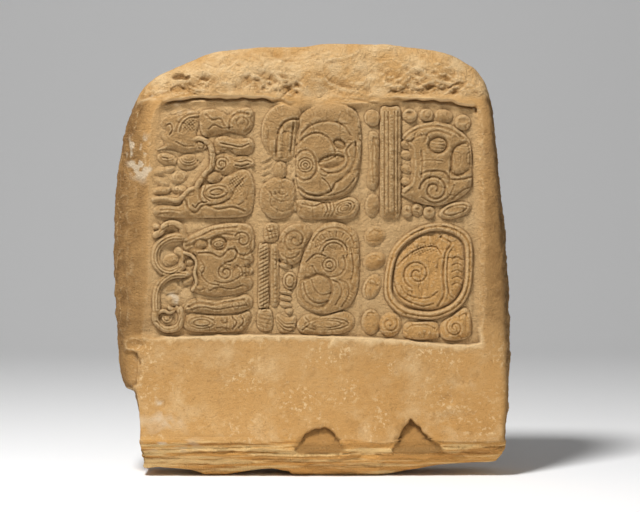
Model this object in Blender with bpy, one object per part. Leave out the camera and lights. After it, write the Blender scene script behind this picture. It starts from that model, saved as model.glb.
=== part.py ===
"""A carved limestone panel: one upright slab with broken edges, whose sunk field holds six blocks of low relief.

Metres, +Z up. The carved face looks along -Y, the slab stands on its underside at z = 0, and the origin is the
middle of its outline on that plane.
"""

import math

import bmesh
import bpy
import numpy as np

# Driving dimensions
STONE_WIDTH = 0.405
STONE_HEIGHT = 0.4375
STONE_DEPTH = 0.090
FRONT_ROUND = 0.023  # depth over which the face rolls back to the full outline
BACK_ROUND = 0.018
BACK_INSET = 0.07  # share of the outline that the back face gives up
FIELD_LEFT = 0.039  # from the stone's left side to the sunk field
FIELD_RIGHT = 0.0325
FIELD_HEAD = 0.0555
FIELD_FOOT = 0.134
FIELD_SINK = 0.0060
FACE_GAP = 0.0008  # how far the highest carving stays behind the stone's face
LEFT_GAP = 0.0035  # from the field's edge to the first column of blocks
RIGHT_GAP = 0.0125
COLUMN_GAP = 0.0005
FOOT_GAP = 0.012
ROW_GAP = 0.003
HEAD_GAP = 0.011
GROOVE_WIDTH = 0.0020
GROOVE_DEPTH = 0.0013
GROOVE_LIFT = 0.0002  # a groove's widest part lies this far above the top that it cuts
EDGE_CHAMFER = 0.0011
TOP_STEP = 0.00004  # neighbouring tops differ by up to a few of these, as hand cutting leaves them
TOP_STEPS = 5
FOOTING = 0.003  # how far each raised form runs on below the field's floor
BAND_WIDTH = 0.0050
BAND_SINK = 0.0002  # how far a band's axis lies under the field's floor
RING_OPENING = 0.83  # the framed hollow's share of the ring's own outline
PLATE_SLACK = 0.00035  # how far a drawn curve may stray from its true line
LOBE_SLACK = 0.00005
GROOVE_SLACK = 0.00030

# Worked out from them
FACE = -STONE_DEPTH / 2
FLOOR = FACE + FIELD_SINK
FIELD_WIDTH = STONE_WIDTH - FIELD_LEFT - FIELD_RIGHT
FIELD_HEIGHT = STONE_HEIGHT - FIELD_HEAD - FIELD_FOOT
BLOCK_WIDTH = (FIELD_WIDTH - LEFT_GAP - RIGHT_GAP - 2 * COLUMN_GAP) / 3
BLOCK_HEIGHT = (FIELD_HEIGHT - FOOT_GAP - ROW_GAP - HEAD_GAP) / 2
TALL = FIELD_SINK - FACE_GAP
MIDDLE = 0.85 * TALL
LOW = 0.58 * TALL
HIGHEST = 1.08 * TALL

# Sizes of the drawings that the shapes below are given on, in millimetres
MILLIMETRE = 0.001
STONE_DRAWN = (405.0, 437.5)
BLOCK_DRAWN = (105.5, 111.0)

# The outline at its widest and the edge of the flat face, as pairs of (across, up) from the foot of the left side.
# The outline grows with the stone, and the face's edge keeps its distance in from it.
EDGE_PAIRS = [
    (28, 10, 32, 38), (26, 46, 31, 51), (23, 68, 30, 74), (10, 91, 28, 97), (3.5, 127, 31, 134), (0.5, 188, 38, 189),
    (0, 228, 39, 229), (2.5, 289, 39, 289), (8.5, 334, 40, 334), (16, 362, 43, 361), (24, 383, 48, 372),
    (35, 397, 54, 377), (52, 408, 66, 382), (79, 420, 86, 386), (100, 428, 105, 388), (122, 432, 126, 389),
    (160, 435, 159, 390), (191, 434, 191, 387), (226, 437.5, 224, 386), (263, 437, 261, 387), (304, 435, 299, 392),
    (332, 430, 327, 390), (352, 422, 347, 387), (369.5, 410, 363, 382), (380, 392, 372, 375), (386, 370, 378, 359),
    (391, 334, 380, 329), (396, 284, 381, 279), (402, 218, 383, 219), (405, 127, 388, 129), (404, 87, 391, 89),
    (402, 46, 391, 54), (399, 24, 389, 43), (389, 14, 381, 39), (362, 12, 359, 39), (332, 10, 331, 39),
    (302, 5, 301, 39), (269, 0, 269, 38), (191, 0, 193, 38), (175, 4, 177, 38), (158, 6, 159, 38), (135, 3, 136, 38),
    (114, 0, 116, 38), (94, 0, 96, 38), (79, 5, 81, 38), (49, 8, 51, 38),
]  # fmt: skip

# The field's edge, in hundredths of its width and height
FIELD_EDGE = [
    (3.4, 96.8), (7, 98.4), (15.4, 99.2), (34, 99.6), (42.4, 97.6), (59, 98.8), (84.4, 98.8), (95, 96.4), (98.8, 94),
    (99.4, 70.6), (100, 34.3), (99.4, 6), (98.8, 0), (87.4, 0), (75.4, 1.6), (60.4, 2.8), (30.4, 3.6), (0, 3.2),
    (0, 10), (0.4, 26.2), (0.4, 50.4), (1, 74.6), (2, 90.7),
]  # fmt: skip

# Scooped breaks: across and up on the stone's drawing, then how far behind the face the middle lies and the half-sizes.
# They are the run of the head that broke down into the field, and two chips out of the foot.
CHIPS = [
    (231, 384, -0.004, (0.056, 0.0085, 0.011)), (215, 36, 0.0, (0.014, 0.006, 0.012)),
    (306, 46, -0.001, (0.019, 0.005, 0.018)),
]  # fmt: skip


def new_collection(name, parent, helper=False):
    collection = bpy.data.collections.new(name)
    parent.children.link(collection)
    collection.hide_render = helper
    return collection


def smooth(points, closed=False, steps=4):
    """Catmull-Rom curve: each span is a cubic whose ends aim along the line between their neighbours."""
    p = np.asarray(points, float)
    if closed:
        q = np.vstack([p[-1:], p, p[:2]])
    else:
        q = np.vstack([2 * p[:1] - p[1:2], p, 2 * p[-1:] - p[-2:-1]])
    t = (np.arange(steps) / steps)[:, None]
    spans = []
    for a, b, c, d in zip(q[:-3], q[1:-2], q[2:-1], q[3:]):
        cubic = (2 * b) + (c - a) * t + (2 * a - 5 * b + 4 * c - d) * t**2 + (3 * b - a - 3 * c + d) * t**3
        spans.append(cubic / 2)
    if not closed:
        spans.append(p[-1:])
    return np.vstack(spans)


def thinned(points, closed, slack):
    """The curve with each point dropped that lies within the slack of the line between those kept beside it."""
    kept = [points[0]]
    last = 0
    ends = list(points) + ([points[0]] if closed else [])
    for i in range(2, len(ends)):
        chord = ends[i] - ends[last]
        between = np.array(ends[last + 1 : i]) - ends[last]
        off = np.abs(between[:, 0] * chord[1] - between[:, 1] * chord[0]) / (np.hypot(*chord) + 1e-9)
        if off.max() > slack:
            last = i - 1
            kept.append(ends[last])
    if not closed:
        kept.append(ends[-1])
    return np.array(kept)


def oval(u, v, across, up, tilt=0, count=10):
    """Points of an ellipse about (u, v), with these half-sizes, turned by tilt degrees."""
    a = np.arange(count) * math.tau / count
    x = across * np.cos(a)
    y = up * np.sin(a)
    c = math.cos(math.radians(tilt))
    s = math.sin(math.radians(tilt))
    return np.column_stack([u + c * x - s * y, v + s * x + c * y])


def arc(u, v, across, up, start, end, count=8):
    a = np.radians(np.linspace(start, end, count))
    return np.column_stack([u + across * np.cos(a), v + up * np.sin(a)])


def scroll(u, v, outer, inner, start, turn, count=16):
    """Points of a spiral whose radius falls evenly from outer to inner while it turns through turn degrees."""
    t = np.linspace(0, 1, count)
    a = np.radians(start + turn * t)
    r = outer + (inner - outer) * t
    return np.column_stack([u + r * np.cos(a), v + r * np.sin(a)])


def object_from_mesh(name, mesh, collection):
    obj = bpy.data.objects.new(name, mesh)
    collection.objects.link(obj)
    obj.display_type = "WIRE"
    obj.hide_render = True
    return obj


def mesh_of_curve(curve_object):
    """The curve as a closed mesh in its own frame. The curve is removed."""
    bpy.context.view_layer.update()
    graph = bpy.context.evaluated_depsgraph_get()
    mesh = bpy.data.meshes.new_from_object(curve_object.evaluated_get(graph))
    bm = bmesh.new()
    bm.from_mesh(mesh)
    bmesh.ops.remove_doubles(bm, verts=bm.verts, dist=1e-6)
    bmesh.ops.recalc_face_normals(bm, faces=bm.faces)
    bm.to_mesh(mesh)
    bm.free()
    curve = curve_object.data
    bpy.data.objects.remove(curve_object)
    bpy.data.curves.remove(curve)
    return mesh


def curve_object(name, points, closed):
    curve = bpy.data.curves.new(name, "CURVE")
    spline = curve.splines.new("POLY")
    spline.points.add(len(points) - 1)
    for target, (x, z) in zip(spline.points, points):
        target.co = (x, z, 0, 1)
    spline.use_cyclic_u = closed
    obj = bpy.data.objects.new(name, curve)
    bpy.context.scene.collection.objects.link(obj)
    return obj


def stand_up(mesh, depth):
    """Turns a shape drawn flat so that its top looks along -Y, with its own zero level at this depth."""
    for vertex in mesh.vertices:
        x, z, front = vertex.co
        vertex.co = (x, depth - front, z)


def slab_between(name, points, front, back, collection, chamfer=0.0):
    """A flat outline extruded from its front plane to its back plane, its front edge chamfered."""
    flat = curve_object(name, points, True)
    flat.data.dimensions = "2D"
    flat.data.fill_mode = "BOTH"
    flat.data.extrude = (back - front) / 2
    mesh = mesh_of_curve(flat)
    if chamfer:
        bm = bmesh.new()
        bm.from_mesh(mesh)
        top = [e for e in bm.edges if all(v.co.z > 0 for v in e.verts) and len(e.link_faces) == 2]
        rim = [e for e in top if abs(e.link_faces[0].normal.z - e.link_faces[1].normal.z) > 0.5]
        bmesh.ops.bevel(bm, geom=rim, offset=chamfer, segments=1, affect="EDGES", clamp_overlap=True)
        bm.to_mesh(mesh)
        bm.free()
    stand_up(mesh, (front + back) / 2)
    return object_from_mesh(name, mesh, collection)


def rod(name, points, depth, half_width, half_height, sides, collection):
    """A tube with an elliptical section along the points, its axis at this depth. Sides says how finely it is cut."""
    line = curve_object(name, points, False)
    line.data.dimensions = "3D"
    line.data.bevel_depth = half_width
    line.data.bevel_resolution = sides
    line.data.use_fill_caps = True
    mesh = mesh_of_curve(line)
    for vertex in mesh.vertices:
        vertex.co.z *= half_height / half_width
    stand_up(mesh, depth)
    return object_from_mesh(name, mesh, collection)


class Block:
    """One carved block: its shapes are drawn in millimetres from the foot of its left side, on BLOCK_DRAWN."""

    def __init__(self, name, column, row, lean, sag):
        self.name = name
        left = -STONE_WIDTH / 2 + FIELD_LEFT + LEFT_GAP + column * (BLOCK_WIDTH + COLUMN_GAP)
        foot = FIELD_FOOT + FOOT_GAP + row * (BLOCK_HEIGHT + ROW_GAP)
        self.scale = np.array([BLOCK_WIDTH / BLOCK_DRAWN[0], BLOCK_HEIGHT / BLOCK_DRAWN[1]])
        self.corner = np.array([left, foot]) - np.array([lean, sag]) * self.scale

    def set_out(self, points, closed, slack):
        return thinned(self.corner + np.asarray(points) * self.scale, closed, slack)

    def raise_form(self, outline, level, where):
        """A raised form with a level top and a chamfered edge."""
        step = TOP_STEP * (len(HELPERS[where].objects) % TOP_STEPS)
        slab_between(self.name, outline, FLOOR - level + step, FLOOR + FOOTING + step, HELPERS[where], EDGE_CHAMFER)

    def plate(self, points, level=TALL, where="raised"):
        self.raise_form(self.set_out(smooth(points, True), True, PLATE_SLACK), level, where)

    def lobe(self, u, v, across, up, tilt=0, level=TALL, where="raised"):
        self.raise_form(self.set_out(oval(u, v, across, up, tilt), True, LOBE_SLACK), level, where)

    def pit(self, points, level):
        """A hollow with a flat floor, cut into a raised form."""
        outline = self.set_out(points, True, PLATE_SLACK)
        slab_between(self.name, outline, FACE - FIELD_SINK, FLOOR - level, HELPERS["sunk"])

    def band(self, points, height=TALL):
        """A half-round moulding along a curve."""
        line = self.set_out(smooth(points), False, PLATE_SLACK)
        rod(self.name, line, FLOOR + BAND_SINK, BAND_WIDTH / 2, height + BAND_SINK, 2, HELPERS["raised"])

    def groove(self, points, level=TALL, where="sunk"):
        self.cut_along(smooth(points), level, where)

    def coil(self, u, v, outer, inner, start, turn, level=TALL, where="sunk"):
        self.cut_along(scroll(u, v, outer, inner, start, turn), level, where)

    def cut_along(self, curve, level, where):
        """A V-shaped cut along a curve in the top of a raised form."""
        line = self.set_out(curve, False, GROOVE_SLACK)
        depth = GROOVE_DEPTH + GROOVE_LIFT
        rod(self.name, line, FLOOR - level - GROOVE_LIFT, GROOVE_WIDTH / 2, depth, 0, HELPERS[where])


def upper_left_block():
    """A bent plate and two stepped ones over hanging lobes, with a winding band down to a broad body."""
    b = Block("upper_left", 0, 1, 0, 0)
    b.plate([(3, 3.5), (1.5, 10), (8, 13), (27, 13), (32, 24), (42, 31), (56, 35), (66, 37), (76, 45), (87, 50),
             (97, 47), (101, 34), (100, 16), (92, 4), (60, 1.5), (20, 1.5)])  # fmt: skip
    b.plate([(6, 70), (16, 76), (18, 88), (14, 98), (22, 105), (38, 108), (46, 105), (45, 94), (43, 82), (54, 77),
             (55, 70), (44, 69), (31, 66), (18, 70)], MIDDLE)  # fmt: skip
    b.plate([(50, 107), (60, 109.5), (70, 107), (80, 109), (95, 110.5), (100.5, 105), (99, 92), (92, 84), (78, 87),
             (64, 84), (51, 82), (48, 94)])  # fmt: skip
    b.plate([(64, 79), (72, 82), (84, 80), (96, 79), (101, 73), (97.5, 66), (89, 63.5), (81, 65), (74, 69), (66, 68)])
    b.plate([(68, 62), (76, 60), (88, 60), (99, 58), (101, 53), (91, 52), (85, 49.5), (77, 45), (68, 45), (63, 50),
             (63, 58)], MIDDLE)  # fmt: skip
    for u, v, across, up, tilt in ((15, 60, 9.5, 5.5, -15), (36, 57, 11, 7, 10), (9, 28.5, 8, 3.8, 8)):
        b.lobe(u, v, across, up, tilt, MIDDLE)
    for u, v, across, up, tilt in ((8, 47.5, 6, 4.2, 10), (8.5, 38, 7.5, 3.8, -25), (26, 41, 9, 5.5, 20)):
        b.lobe(u, v, across, up, tilt, LOW)
    b.band([(49, 79), (59, 73), (60, 55), (51, 43), (45, 34), (43, 23), (35, 15)], HIGHEST)
    b.band([(2, 19.5), (12, 21), (26, 19), (33, 26), (42, 33)])
    b.lobe(63, 42, 7, 5, 10, HIGHEST)
    b.groove([(53, 24), (60, 19), (72, 21), (80, 30), (88, 45)])
    b.groove([(22, 82), (24, 95), (33, 101), (45, 103)], MIDDLE)
    b.groove([(56, 90), (70, 100), (88, 102), (94, 94)])


def upper_middle_block():
    """A tall loop beside a great rounded form with nested arcs, over a lobe and a low band."""
    b = Block("upper_middle", 1, 1, 0, 1)
    b.plate([(6, 100), (12, 110), (22, 115), (35, 115), (40, 108), (37, 96), (35, 87), (33, 74), (31, 62), (24, 58),
             (14, 63), (7, 78), (4.5, 88.5)], MIDDLE)  # fmt: skip
    b.plate([(44, 105), (55, 114), (75, 117), (90, 113), (99, 104), (101.5, 83), (101.5, 58), (98, 38), (88, 27),
             (72, 22), (55, 23), (43, 27), (39, 42), (38, 58), (39, 78), (42, 92)])  # fmt: skip
    b.plate([(41, 18), (56, 18.5), (72, 18), (91, 22.5), (98.5, 18), (99, 9.7), (92, 2.3), (63, 1.5), (44, 2.5),
             (40, 9)])  # fmt: skip
    b.plate([(3.6, 30), (8, 37), (16, 41), (29, 39), (35, 34), (37.5, 19), (34, 9), (26, 3), (13, 2.3), (5.3, 9),
             (2.8, 19)])  # fmt: skip
    for u, v, across, up, tilt in ((9, 58, 6, 3.8, 25), (8, 48, 6.5, 3.8, 25), (24, 49, 7, 7.5, 0)):
        b.lobe(u, v, across, up, tilt, MIDDLE)
    b.groove([(23, 66), (20, 84), (24, 97), (34, 98)], MIDDLE)
    b.groove([(45, 81), (55, 93), (71, 98), (86, 95), (93, 85)])
    b.groove([(44, 70), (53, 83), (66, 86), (76, 79), (79, 68), (88, 66)])
    b.coil(55, 56, 13, 4, 60, 520)
    b.groove([(46, 33), (60, 28), (78, 30), (90, 42), (94, 58)])
    b.groove([(11, 24), (18, 18), (27, 19), (31, 27)])


def upper_right_block():
    """An upright bar with knobs beside it, and a rounded form under a row of four knobs."""
    b = Block("upper_right", 2, 1, 0, 2)
    b.plate([(17, 112), (26, 113), (35, 112), (36, 80), (36, 40), (35, 6), (26, 4.5), (17, 6), (16.5, 40), (16.5, 80)])
    b.plate([(5, 85), (10, 89), (14.5, 84), (14.5, 60), (14, 38), (10, 33), (4, 37), (7, 60)], MIDDLE)
    b.lobe(8, 102, 7, 8, 20)
    b.lobe(8.5, 15.5, 6.5, 11, -5, MIDDLE)
    b.plate([(40, 84), (46, 91), (56, 97), (71, 99), (87, 95), (99, 87), (105, 76), (106.5, 50), (106, 38), (101, 28),
             (88, 22), (73, 18), (57, 20), (44, 25), (38, 30), (46, 36), (50, 50), (48, 70)])  # fmt: skip
    for v in (74, 60, 46):
        b.lobe(42.5, v, 4.2, 3.0, -15, MIDDLE)
    for u, v, across, up in ((45, 104, 6.6, 6.6), (61.5, 106.3, 7, 6), (79, 105.5, 8.4, 6.2), (98.5, 98, 7, 7.6)):
        b.lobe(u, v, across, up, -10)
    for u, v in ((42.5, 9.5), (55.5, 10), (68.5, 7.5)):
        b.lobe(u, v, 5.6, 6)
    b.lobe(91, 10, 16, 7.2, 14)
    b.groove([(26, 108), (26, 60), (26, 9)])
    b.groove([(55, 82), (57, 60), (56, 40), (46, 31)])
    b.coil(76, 42, 15, 4, 200, -480)
    b.groove([(56, 84), (70, 90), (86, 86), (98, 76)])
    b.groove([(80, 9), (92, 14), (102, 14)])


def lower_left_block():
    """Two open scrolls and a hook at the left, a notched body at the right, and two low bands."""
    b = Block("lower_left", 0, 0, 0, 0)
    b.plate([(33, 94), (46, 102), (62, 107), (85, 109), (98, 105), (100, 88), (98.5, 73), (95, 64), (99.5, 54),
             (97, 45), (88, 41), (77, 39.5), (61, 38), (46, 40), (38, 44), (44, 53), (42, 67), (43, 77),
             (34, 83)])  # fmt: skip
    b.plate([(33, 27), (42, 33.5), (61, 31.5), (81, 34), (93, 37), (98.5, 32), (96, 24.5), (81, 21), (61, 20),
             (44, 21.5), (34, 22)])  # fmt: skip
    b.plate([(32, 12), (37, 17.3), (61, 16), (85, 16.8), (94.5, 20), (96.5, 14), (92, 6.4), (85, 1.8), (54, 1),
             (38, 2.4), (33, 6)])  # fmt: skip
    b.band([(10, 101), (17, 108), (25, 106), (30, 97), (28, 89)])
    b.band([(22, 94), (11, 92), (4.5, 83), (3.5, 72), (9, 63), (18, 61.5), (27, 66), (29, 75), (22, 81), (14.5, 76)])
    b.band([(34, 59), (19, 57), (8, 50), (3.5, 39), (3.5, 25)])
    b.band([(5, 21), (4.5, 11), (13, 4.5), (23, 7), (26.5, 16), (23, 24), (14, 22)])
    for u, v, across, up, tilt in ((20, 46, 11, 7, 20), (21, 31, 8, 6, -20), (14, 13.5, 5.5, 5, 0), (20, 74.5, 6, 5, 20)):
        b.lobe(u, v, across, up, tilt, LOW)
    b.lobe(34, 51, 6, 4.5, 30, MIDDLE)
    b.groove([(36, 87), (48, 96), (64, 100), (84, 104)])
    b.groove([(48, 50), (58, 58), (56, 70), (64, 77)])
    b.coil(82, 68, 11, 3, 120, 460)
    b.groove([(40, 26), (52, 29), (70, 26), (90, 31)])


def lower_middle_block():
    """Two narrow upright bars, a curled lobe and a great rounded form, over a hook and a low band."""
    b = Block("lower_middle", 1, 0, 1, 3)
    b.plate([(2, 89), (6, 91), (10, 88), (10, 60), (10, 31), (6, 28.5), (1.5, 31), (1.5, 60)], MIDDLE)
    b.plate([(9, 96), (9, 109), (14, 112.5), (20, 109), (19.5, 97), (14, 94)], MIDDLE)
    b.plate([(0.5, 8), (0.5, 24), (6, 27), (13, 24), (14.5, 8), (8, 4.5)])
    b.plate([(12.5, 88), (16, 92), (20.5, 88), (21, 60), (21, 34), (17, 30), (12.5, 33), (12.5, 60)], MIDDLE)
    b.plate([(23, 98), (28, 106.6), (39, 111.5), (50, 108), (52, 100), (45, 88), (43, 77), (35, 71), (24, 73),
             (22, 85)])  # fmt: skip
    b.plate([(57, 102), (67, 110), (79, 113), (92, 107), (99, 97), (99.5, 65), (98, 45), (91, 31), (76, 26), (62, 25),
             (48, 29), (41, 36), (41, 53), (46, 76), (51, 89)])  # fmt: skip
    b.lobe(32, 59, 5.8, 8, 0, MIDDLE)
    b.lobe(31, 42, 6.5, 5, 0, LOW)
    b.band([(27, 32), (18, 22), (20, 9), (30, 6), (36, 11), (31, 18)])
    b.plate([(41, 9.4), (43, 17), (51, 20.5), (67, 18), (86, 23.5), (95, 18), (94, 8), (83, 2.4), (59, 1.6), (45, 4)])
    b.coil(37, 96, 9, 3, 200, -400)
    b.groove([(50, 74), (60, 83), (72, 80), (84, 84), (95, 78)])
    b.groove(arc(76, 84, 16, 15, 15, 165))
    b.groove([(46, 52), (58, 62), (70, 62), (78, 52), (76, 38)])


def lower_right_block():
    """Three lobes beside a wide ring that frames two forms, over a row of four lobes."""
    b = Block("lower_right", 2, 0, 3, 11)
    for u, v, across, up, tilt in ((13.5, 107.5, 10, 9, 35), (12, 83.5, 11, 8, 25), (11, 57, 8, 12, -35)):
        b.lobe(u, v, across, up, tilt, MIDDLE)
    ring = smooth([(73, 120), (95, 117), (109, 104), (111, 78), (108, 52), (96, 34), (76, 25.5), (57, 25.5), (39, 30),
                   (26, 43), (24, 60), (27, 81), (34, 98), (50, 112)], True)  # fmt: skip
    middle = np.array([68, 73])
    b.plate(ring[::4], HIGHEST)
    b.pit(middle + (ring - middle) * RING_OPENING, LOW)
    b.plate([(37, 73), (44, 92), (58, 104), (74, 106), (86, 100), (82, 84), (84, 62), (82, 46), (66, 38), (50, 42),
             (40, 54)], MIDDLE, "raised_in_ring")  # fmt: skip
    b.plate([(90, 98), (97, 97), (101, 84), (101, 64), (96, 48), (90, 42), (88, 56), (88, 78)], MIDDLE,
            "raised_in_ring")  # fmt: skip
    b.coil(60, 72, 15, 4, 200, -450, MIDDLE, "sunk_in_ring")
    b.groove([(46, 92), (58, 96), (70, 92), (80, 96)], MIDDLE, "sunk_in_ring")
    b.lobe(10.5, 22, 9, 12)
    b.lobe(30, 18, 9.5, 11, -10)
    b.plate([(42, 14), (46, 20), (60, 20.5), (74, 21), (77.5, 14), (76, 6.7), (58, 4.5), (45, 7)])
    b.plate([(80, 10), (81, 19), (93, 27), (104, 33), (108.5, 26), (107, 10), (100, 4.2), (86, 4.2)])
    b.coil(31, 19, 6.5, 2, 90, -420)
    b.coil(95, 16, 7, 2, 120, 420)


def stone_scale():
    return np.array([STONE_WIDTH / STONE_DRAWN[0], STONE_HEIGHT / STONE_DRAWN[1]])


def stone():
    """The slab: rings of points lofted from the flat face over its rolled edge to the sides and the smaller back."""
    pairs = smooth(EDGE_PAIRS, True, 2)
    wide = np.clip(pairs[:, :2] * stone_scale(), 0, [STONE_WIDTH, STONE_HEIGHT])
    face = wide + (pairs[:, 2:] - pairs[:, :2]) * MILLIMETRE
    middle = np.array([STONE_WIDTH / 2, STONE_HEIGHT / 2])
    rings = []
    for turn in np.radians([0, 30, 60, 90]):
        rings.append((face + (wide - face) * math.sin(turn), FRONT_ROUND * (1 - math.cos(turn))))
    for turn in np.radians([0, 45, 90]):
        inset = BACK_INSET * (1 - math.cos(turn))
        rings.append((wide + (middle - wide) * inset, STONE_DEPTH - BACK_ROUND * (1 - math.sin(turn))))
    bm = bmesh.new()
    loops = []
    for outline, depth in rings:
        loops.append([bm.verts.new((x - STONE_WIDTH / 2, FACE + depth, z)) for x, z in outline])
    count = len(face)
    for near, far in zip(loops, loops[1:]):
        for i in range(count):
            j = (i + 1) % count
            bm.faces.new((near[i], near[j], far[j], far[i]))
    bm.faces.new(loops[0])
    bm.faces.new(loops[-1])
    bmesh.ops.recalc_face_normals(bm, faces=bm.faces)
    mesh = bpy.data.meshes.new(NODE)
    bm.to_mesh(mesh)
    bm.free()
    obj = bpy.data.objects.new(NODE, mesh)
    STONE.objects.link(obj)
    return obj


def field():
    """The cutter of the sunk field, with its uneven edge."""
    share = np.array([FIELD_WIDTH, FIELD_HEIGHT]) / 100
    corner = np.array([FIELD_LEFT - STONE_WIDTH / 2, FIELD_FOOT])
    outline = corner + np.array(FIELD_EDGE) * share
    slab_between("field", outline, FACE - FIELD_SINK, FLOOR, HELPERS["field"])


def chip(across, up, behind, sizes):
    """A scooped break: an ellipsoid cutter with these half-sizes, its middle this far behind the face."""
    mesh = bpy.data.meshes.new("chip")
    bm = bmesh.new()
    bmesh.ops.create_icosphere(bm, subdivisions=2, radius=1)
    bmesh.ops.scale(bm, vec=sizes, verts=bm.verts)
    x, z = np.array([across, up]) * stone_scale()
    bmesh.ops.translate(bm, vec=(x - STONE_WIDTH / 2, FACE + behind, z), verts=bm.verts)
    bm.to_mesh(mesh)
    bm.free()
    object_from_mesh("chip", mesh, HELPERS["chips"])


def boolean(obj, operation, collection):
    modifier = obj.modifiers.new(collection.name, "BOOLEAN")
    modifier.operation = operation
    modifier.operand_type = "COLLECTION"
    modifier.collection = collection
    modifier.solver = "EXACT"


def limestone():
    material = bpy.data.materials.new("limestone")
    material.use_nodes = True
    shader = material.node_tree.nodes["Principled BSDF"]
    shader.inputs["Base Color"].default_value = (0.50, 0.34, 0.18, 1)
    shader.inputs["Roughness"].default_value = 0.88
    shader.inputs["Metallic"].default_value = 0.0
    return material


NODE = "carved_panel"
for old in list(bpy.data.objects):
    bpy.data.objects.remove(old)
STONE = new_collection("carved panel", bpy.context.scene.collection)
CUTTERS = new_collection("cutters and added forms", bpy.context.scene.collection, True)
STAGES = [
    ("field", "DIFFERENCE"), ("raised", "UNION"), ("sunk", "DIFFERENCE"), ("raised_in_ring", "UNION"),
    ("sunk_in_ring", "DIFFERENCE"), ("chips", "DIFFERENCE"),
]  # fmt: skip
HELPERS = {}
for stage, _ in STAGES:
    HELPERS[stage] = new_collection(stage, CUTTERS, True)

panel = stone()
field()
upper_left_block()
upper_middle_block()
upper_right_block()
lower_left_block()
lower_middle_block()
lower_right_block()
for across, up, behind, sizes in CHIPS:
    chip(across, up, behind, sizes)
for stage, operation in STAGES:
    boolean(panel, operation, HELPERS[stage])
panel.data.materials.append(limestone())
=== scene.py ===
import math

import bpy
import numpy as np
from mathutils import Matrix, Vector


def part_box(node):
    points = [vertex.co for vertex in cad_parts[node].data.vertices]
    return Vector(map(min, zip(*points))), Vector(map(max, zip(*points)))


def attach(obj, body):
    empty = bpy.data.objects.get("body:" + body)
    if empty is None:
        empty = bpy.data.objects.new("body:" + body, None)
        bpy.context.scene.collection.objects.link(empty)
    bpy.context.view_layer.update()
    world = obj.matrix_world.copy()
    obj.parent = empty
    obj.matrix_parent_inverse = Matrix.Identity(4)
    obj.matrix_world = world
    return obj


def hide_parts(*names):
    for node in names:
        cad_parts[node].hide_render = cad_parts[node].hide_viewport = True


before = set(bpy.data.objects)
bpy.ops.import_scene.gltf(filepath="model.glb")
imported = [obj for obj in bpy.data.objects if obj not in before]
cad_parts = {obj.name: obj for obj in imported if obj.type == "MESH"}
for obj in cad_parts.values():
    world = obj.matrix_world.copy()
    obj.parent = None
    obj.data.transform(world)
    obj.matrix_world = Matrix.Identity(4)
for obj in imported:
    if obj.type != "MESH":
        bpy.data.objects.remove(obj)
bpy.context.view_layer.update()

# The slab: one upright block of golden limestone, its sides rolled over and worn by breakage and handling.
# It was split from a bed and dressed flat on one face, and has lost its head, left side and lower left
# corner. Lengths up to the finish are millimetres, across from the stone's left side and up from its foot.

LOW, HIGH = (1000 * np.array(corner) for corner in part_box("carved_panel"))
WIDE, DEEP, TALL = HIGH - LOW
DRAWN_WIDE, DRAWN_TALL = 405.0, 437.5
FRONT_ROUND, BACK_ROUND, BACK_INSET = 23.0, 18.0, 0.07
FINE, COARSE = 0.62, 1.3  # spacing of the face's points, and of those low down where nothing is carved
CARVED_FROM, FACE_TALL, FACE_WIDE = 90, 339, 345
ROLL_STEPS, SIDE_STEPS, BACK_ROLL_STEPS, BACK_STEPS = 44, 29, 13, 30

# The outline at its widest and the edge of the flat face, as pairs of (across, up), clockwise
LEFT_EDGE = [
    (28, 10, 32, 38), (26, 46, 31, 51), (24.5, 68, 30, 74), (20.5, 83, 29, 89), (10.5, 91, 28, 97),
    (5.5, 106, 29, 112), (3.5, 127, 31, 134), (0.5, 188, 38, 189), (0, 228, 39, 229), (2.5, 289, 39, 289),
    (8.5, 334, 40, 334), (16, 362, 43, 361), (24, 383, 48, 372),
]
HEAD_EDGE = [
    (35, 397, 54, 377), (52, 408, 66, 382), (79, 420, 86, 386), (100, 428, 105, 388), (122, 432, 126, 389),
    (160, 435, 159, 390), (191, 434, 191, 387), (226, 437.5, 224, 386), (263, 437, 261, 387),
    (304, 435, 299, 392), (332, 430, 327, 390), (352, 422, 347, 387),
]
RIGHT_EDGE = [
    (369.5, 410, 363, 382), (380, 392, 372, 375), (386, 370, 378, 359), (391, 334, 380, 329),
    (396, 284, 381, 279), (402, 218, 383, 219), (405, 127, 388, 129), (404, 87, 391, 89),
    (402, 46, 391, 54), (399, 24, 389, 43),
]
FOOT_EDGE = [
    (389, 14, 381, 39), (362, 12, 359, 39), (332, 10, 331, 39), (302, 5, 301, 39), (269, 0, 269, 38),
    (191, 0, 193, 38), (175, 4, 177, 38), (158, 6, 159, 38), (135, 3, 136, 38), (114, 0, 116, 38),
    (94, 0, 96, 38), (79, 5, 81, 38), (49, 8, 51, 38),
]
OUTLINE_STEPS = 8


def smooth(points, closed=False, steps=4):
    """Catmull-Rom curve: each span is a cubic whose ends aim along the line between their neighbours."""
    p = np.asarray(points, float)
    if closed:
        q = np.vstack([p[-1:], p, p[:2]])
    else:
        q = np.vstack([2 * p[:1] - p[1:2], p, 2 * p[-1:] - p[-2:-1]])
    t = (np.arange(steps) / steps)[None, :, None]
    a, b, c, d = (q[i : len(q) - 3 + i, None] for i in range(4))
    spans = (2 * b + (c - a) * t + (2 * a - 5 * b + 4 * c - d) * t**2 + (3 * b - a - 3 * c + d) * t**3) / 2
    curve = spans.reshape(-1, p.shape[1])
    return curve if closed else np.vstack([curve, p[-1:]])


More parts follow.
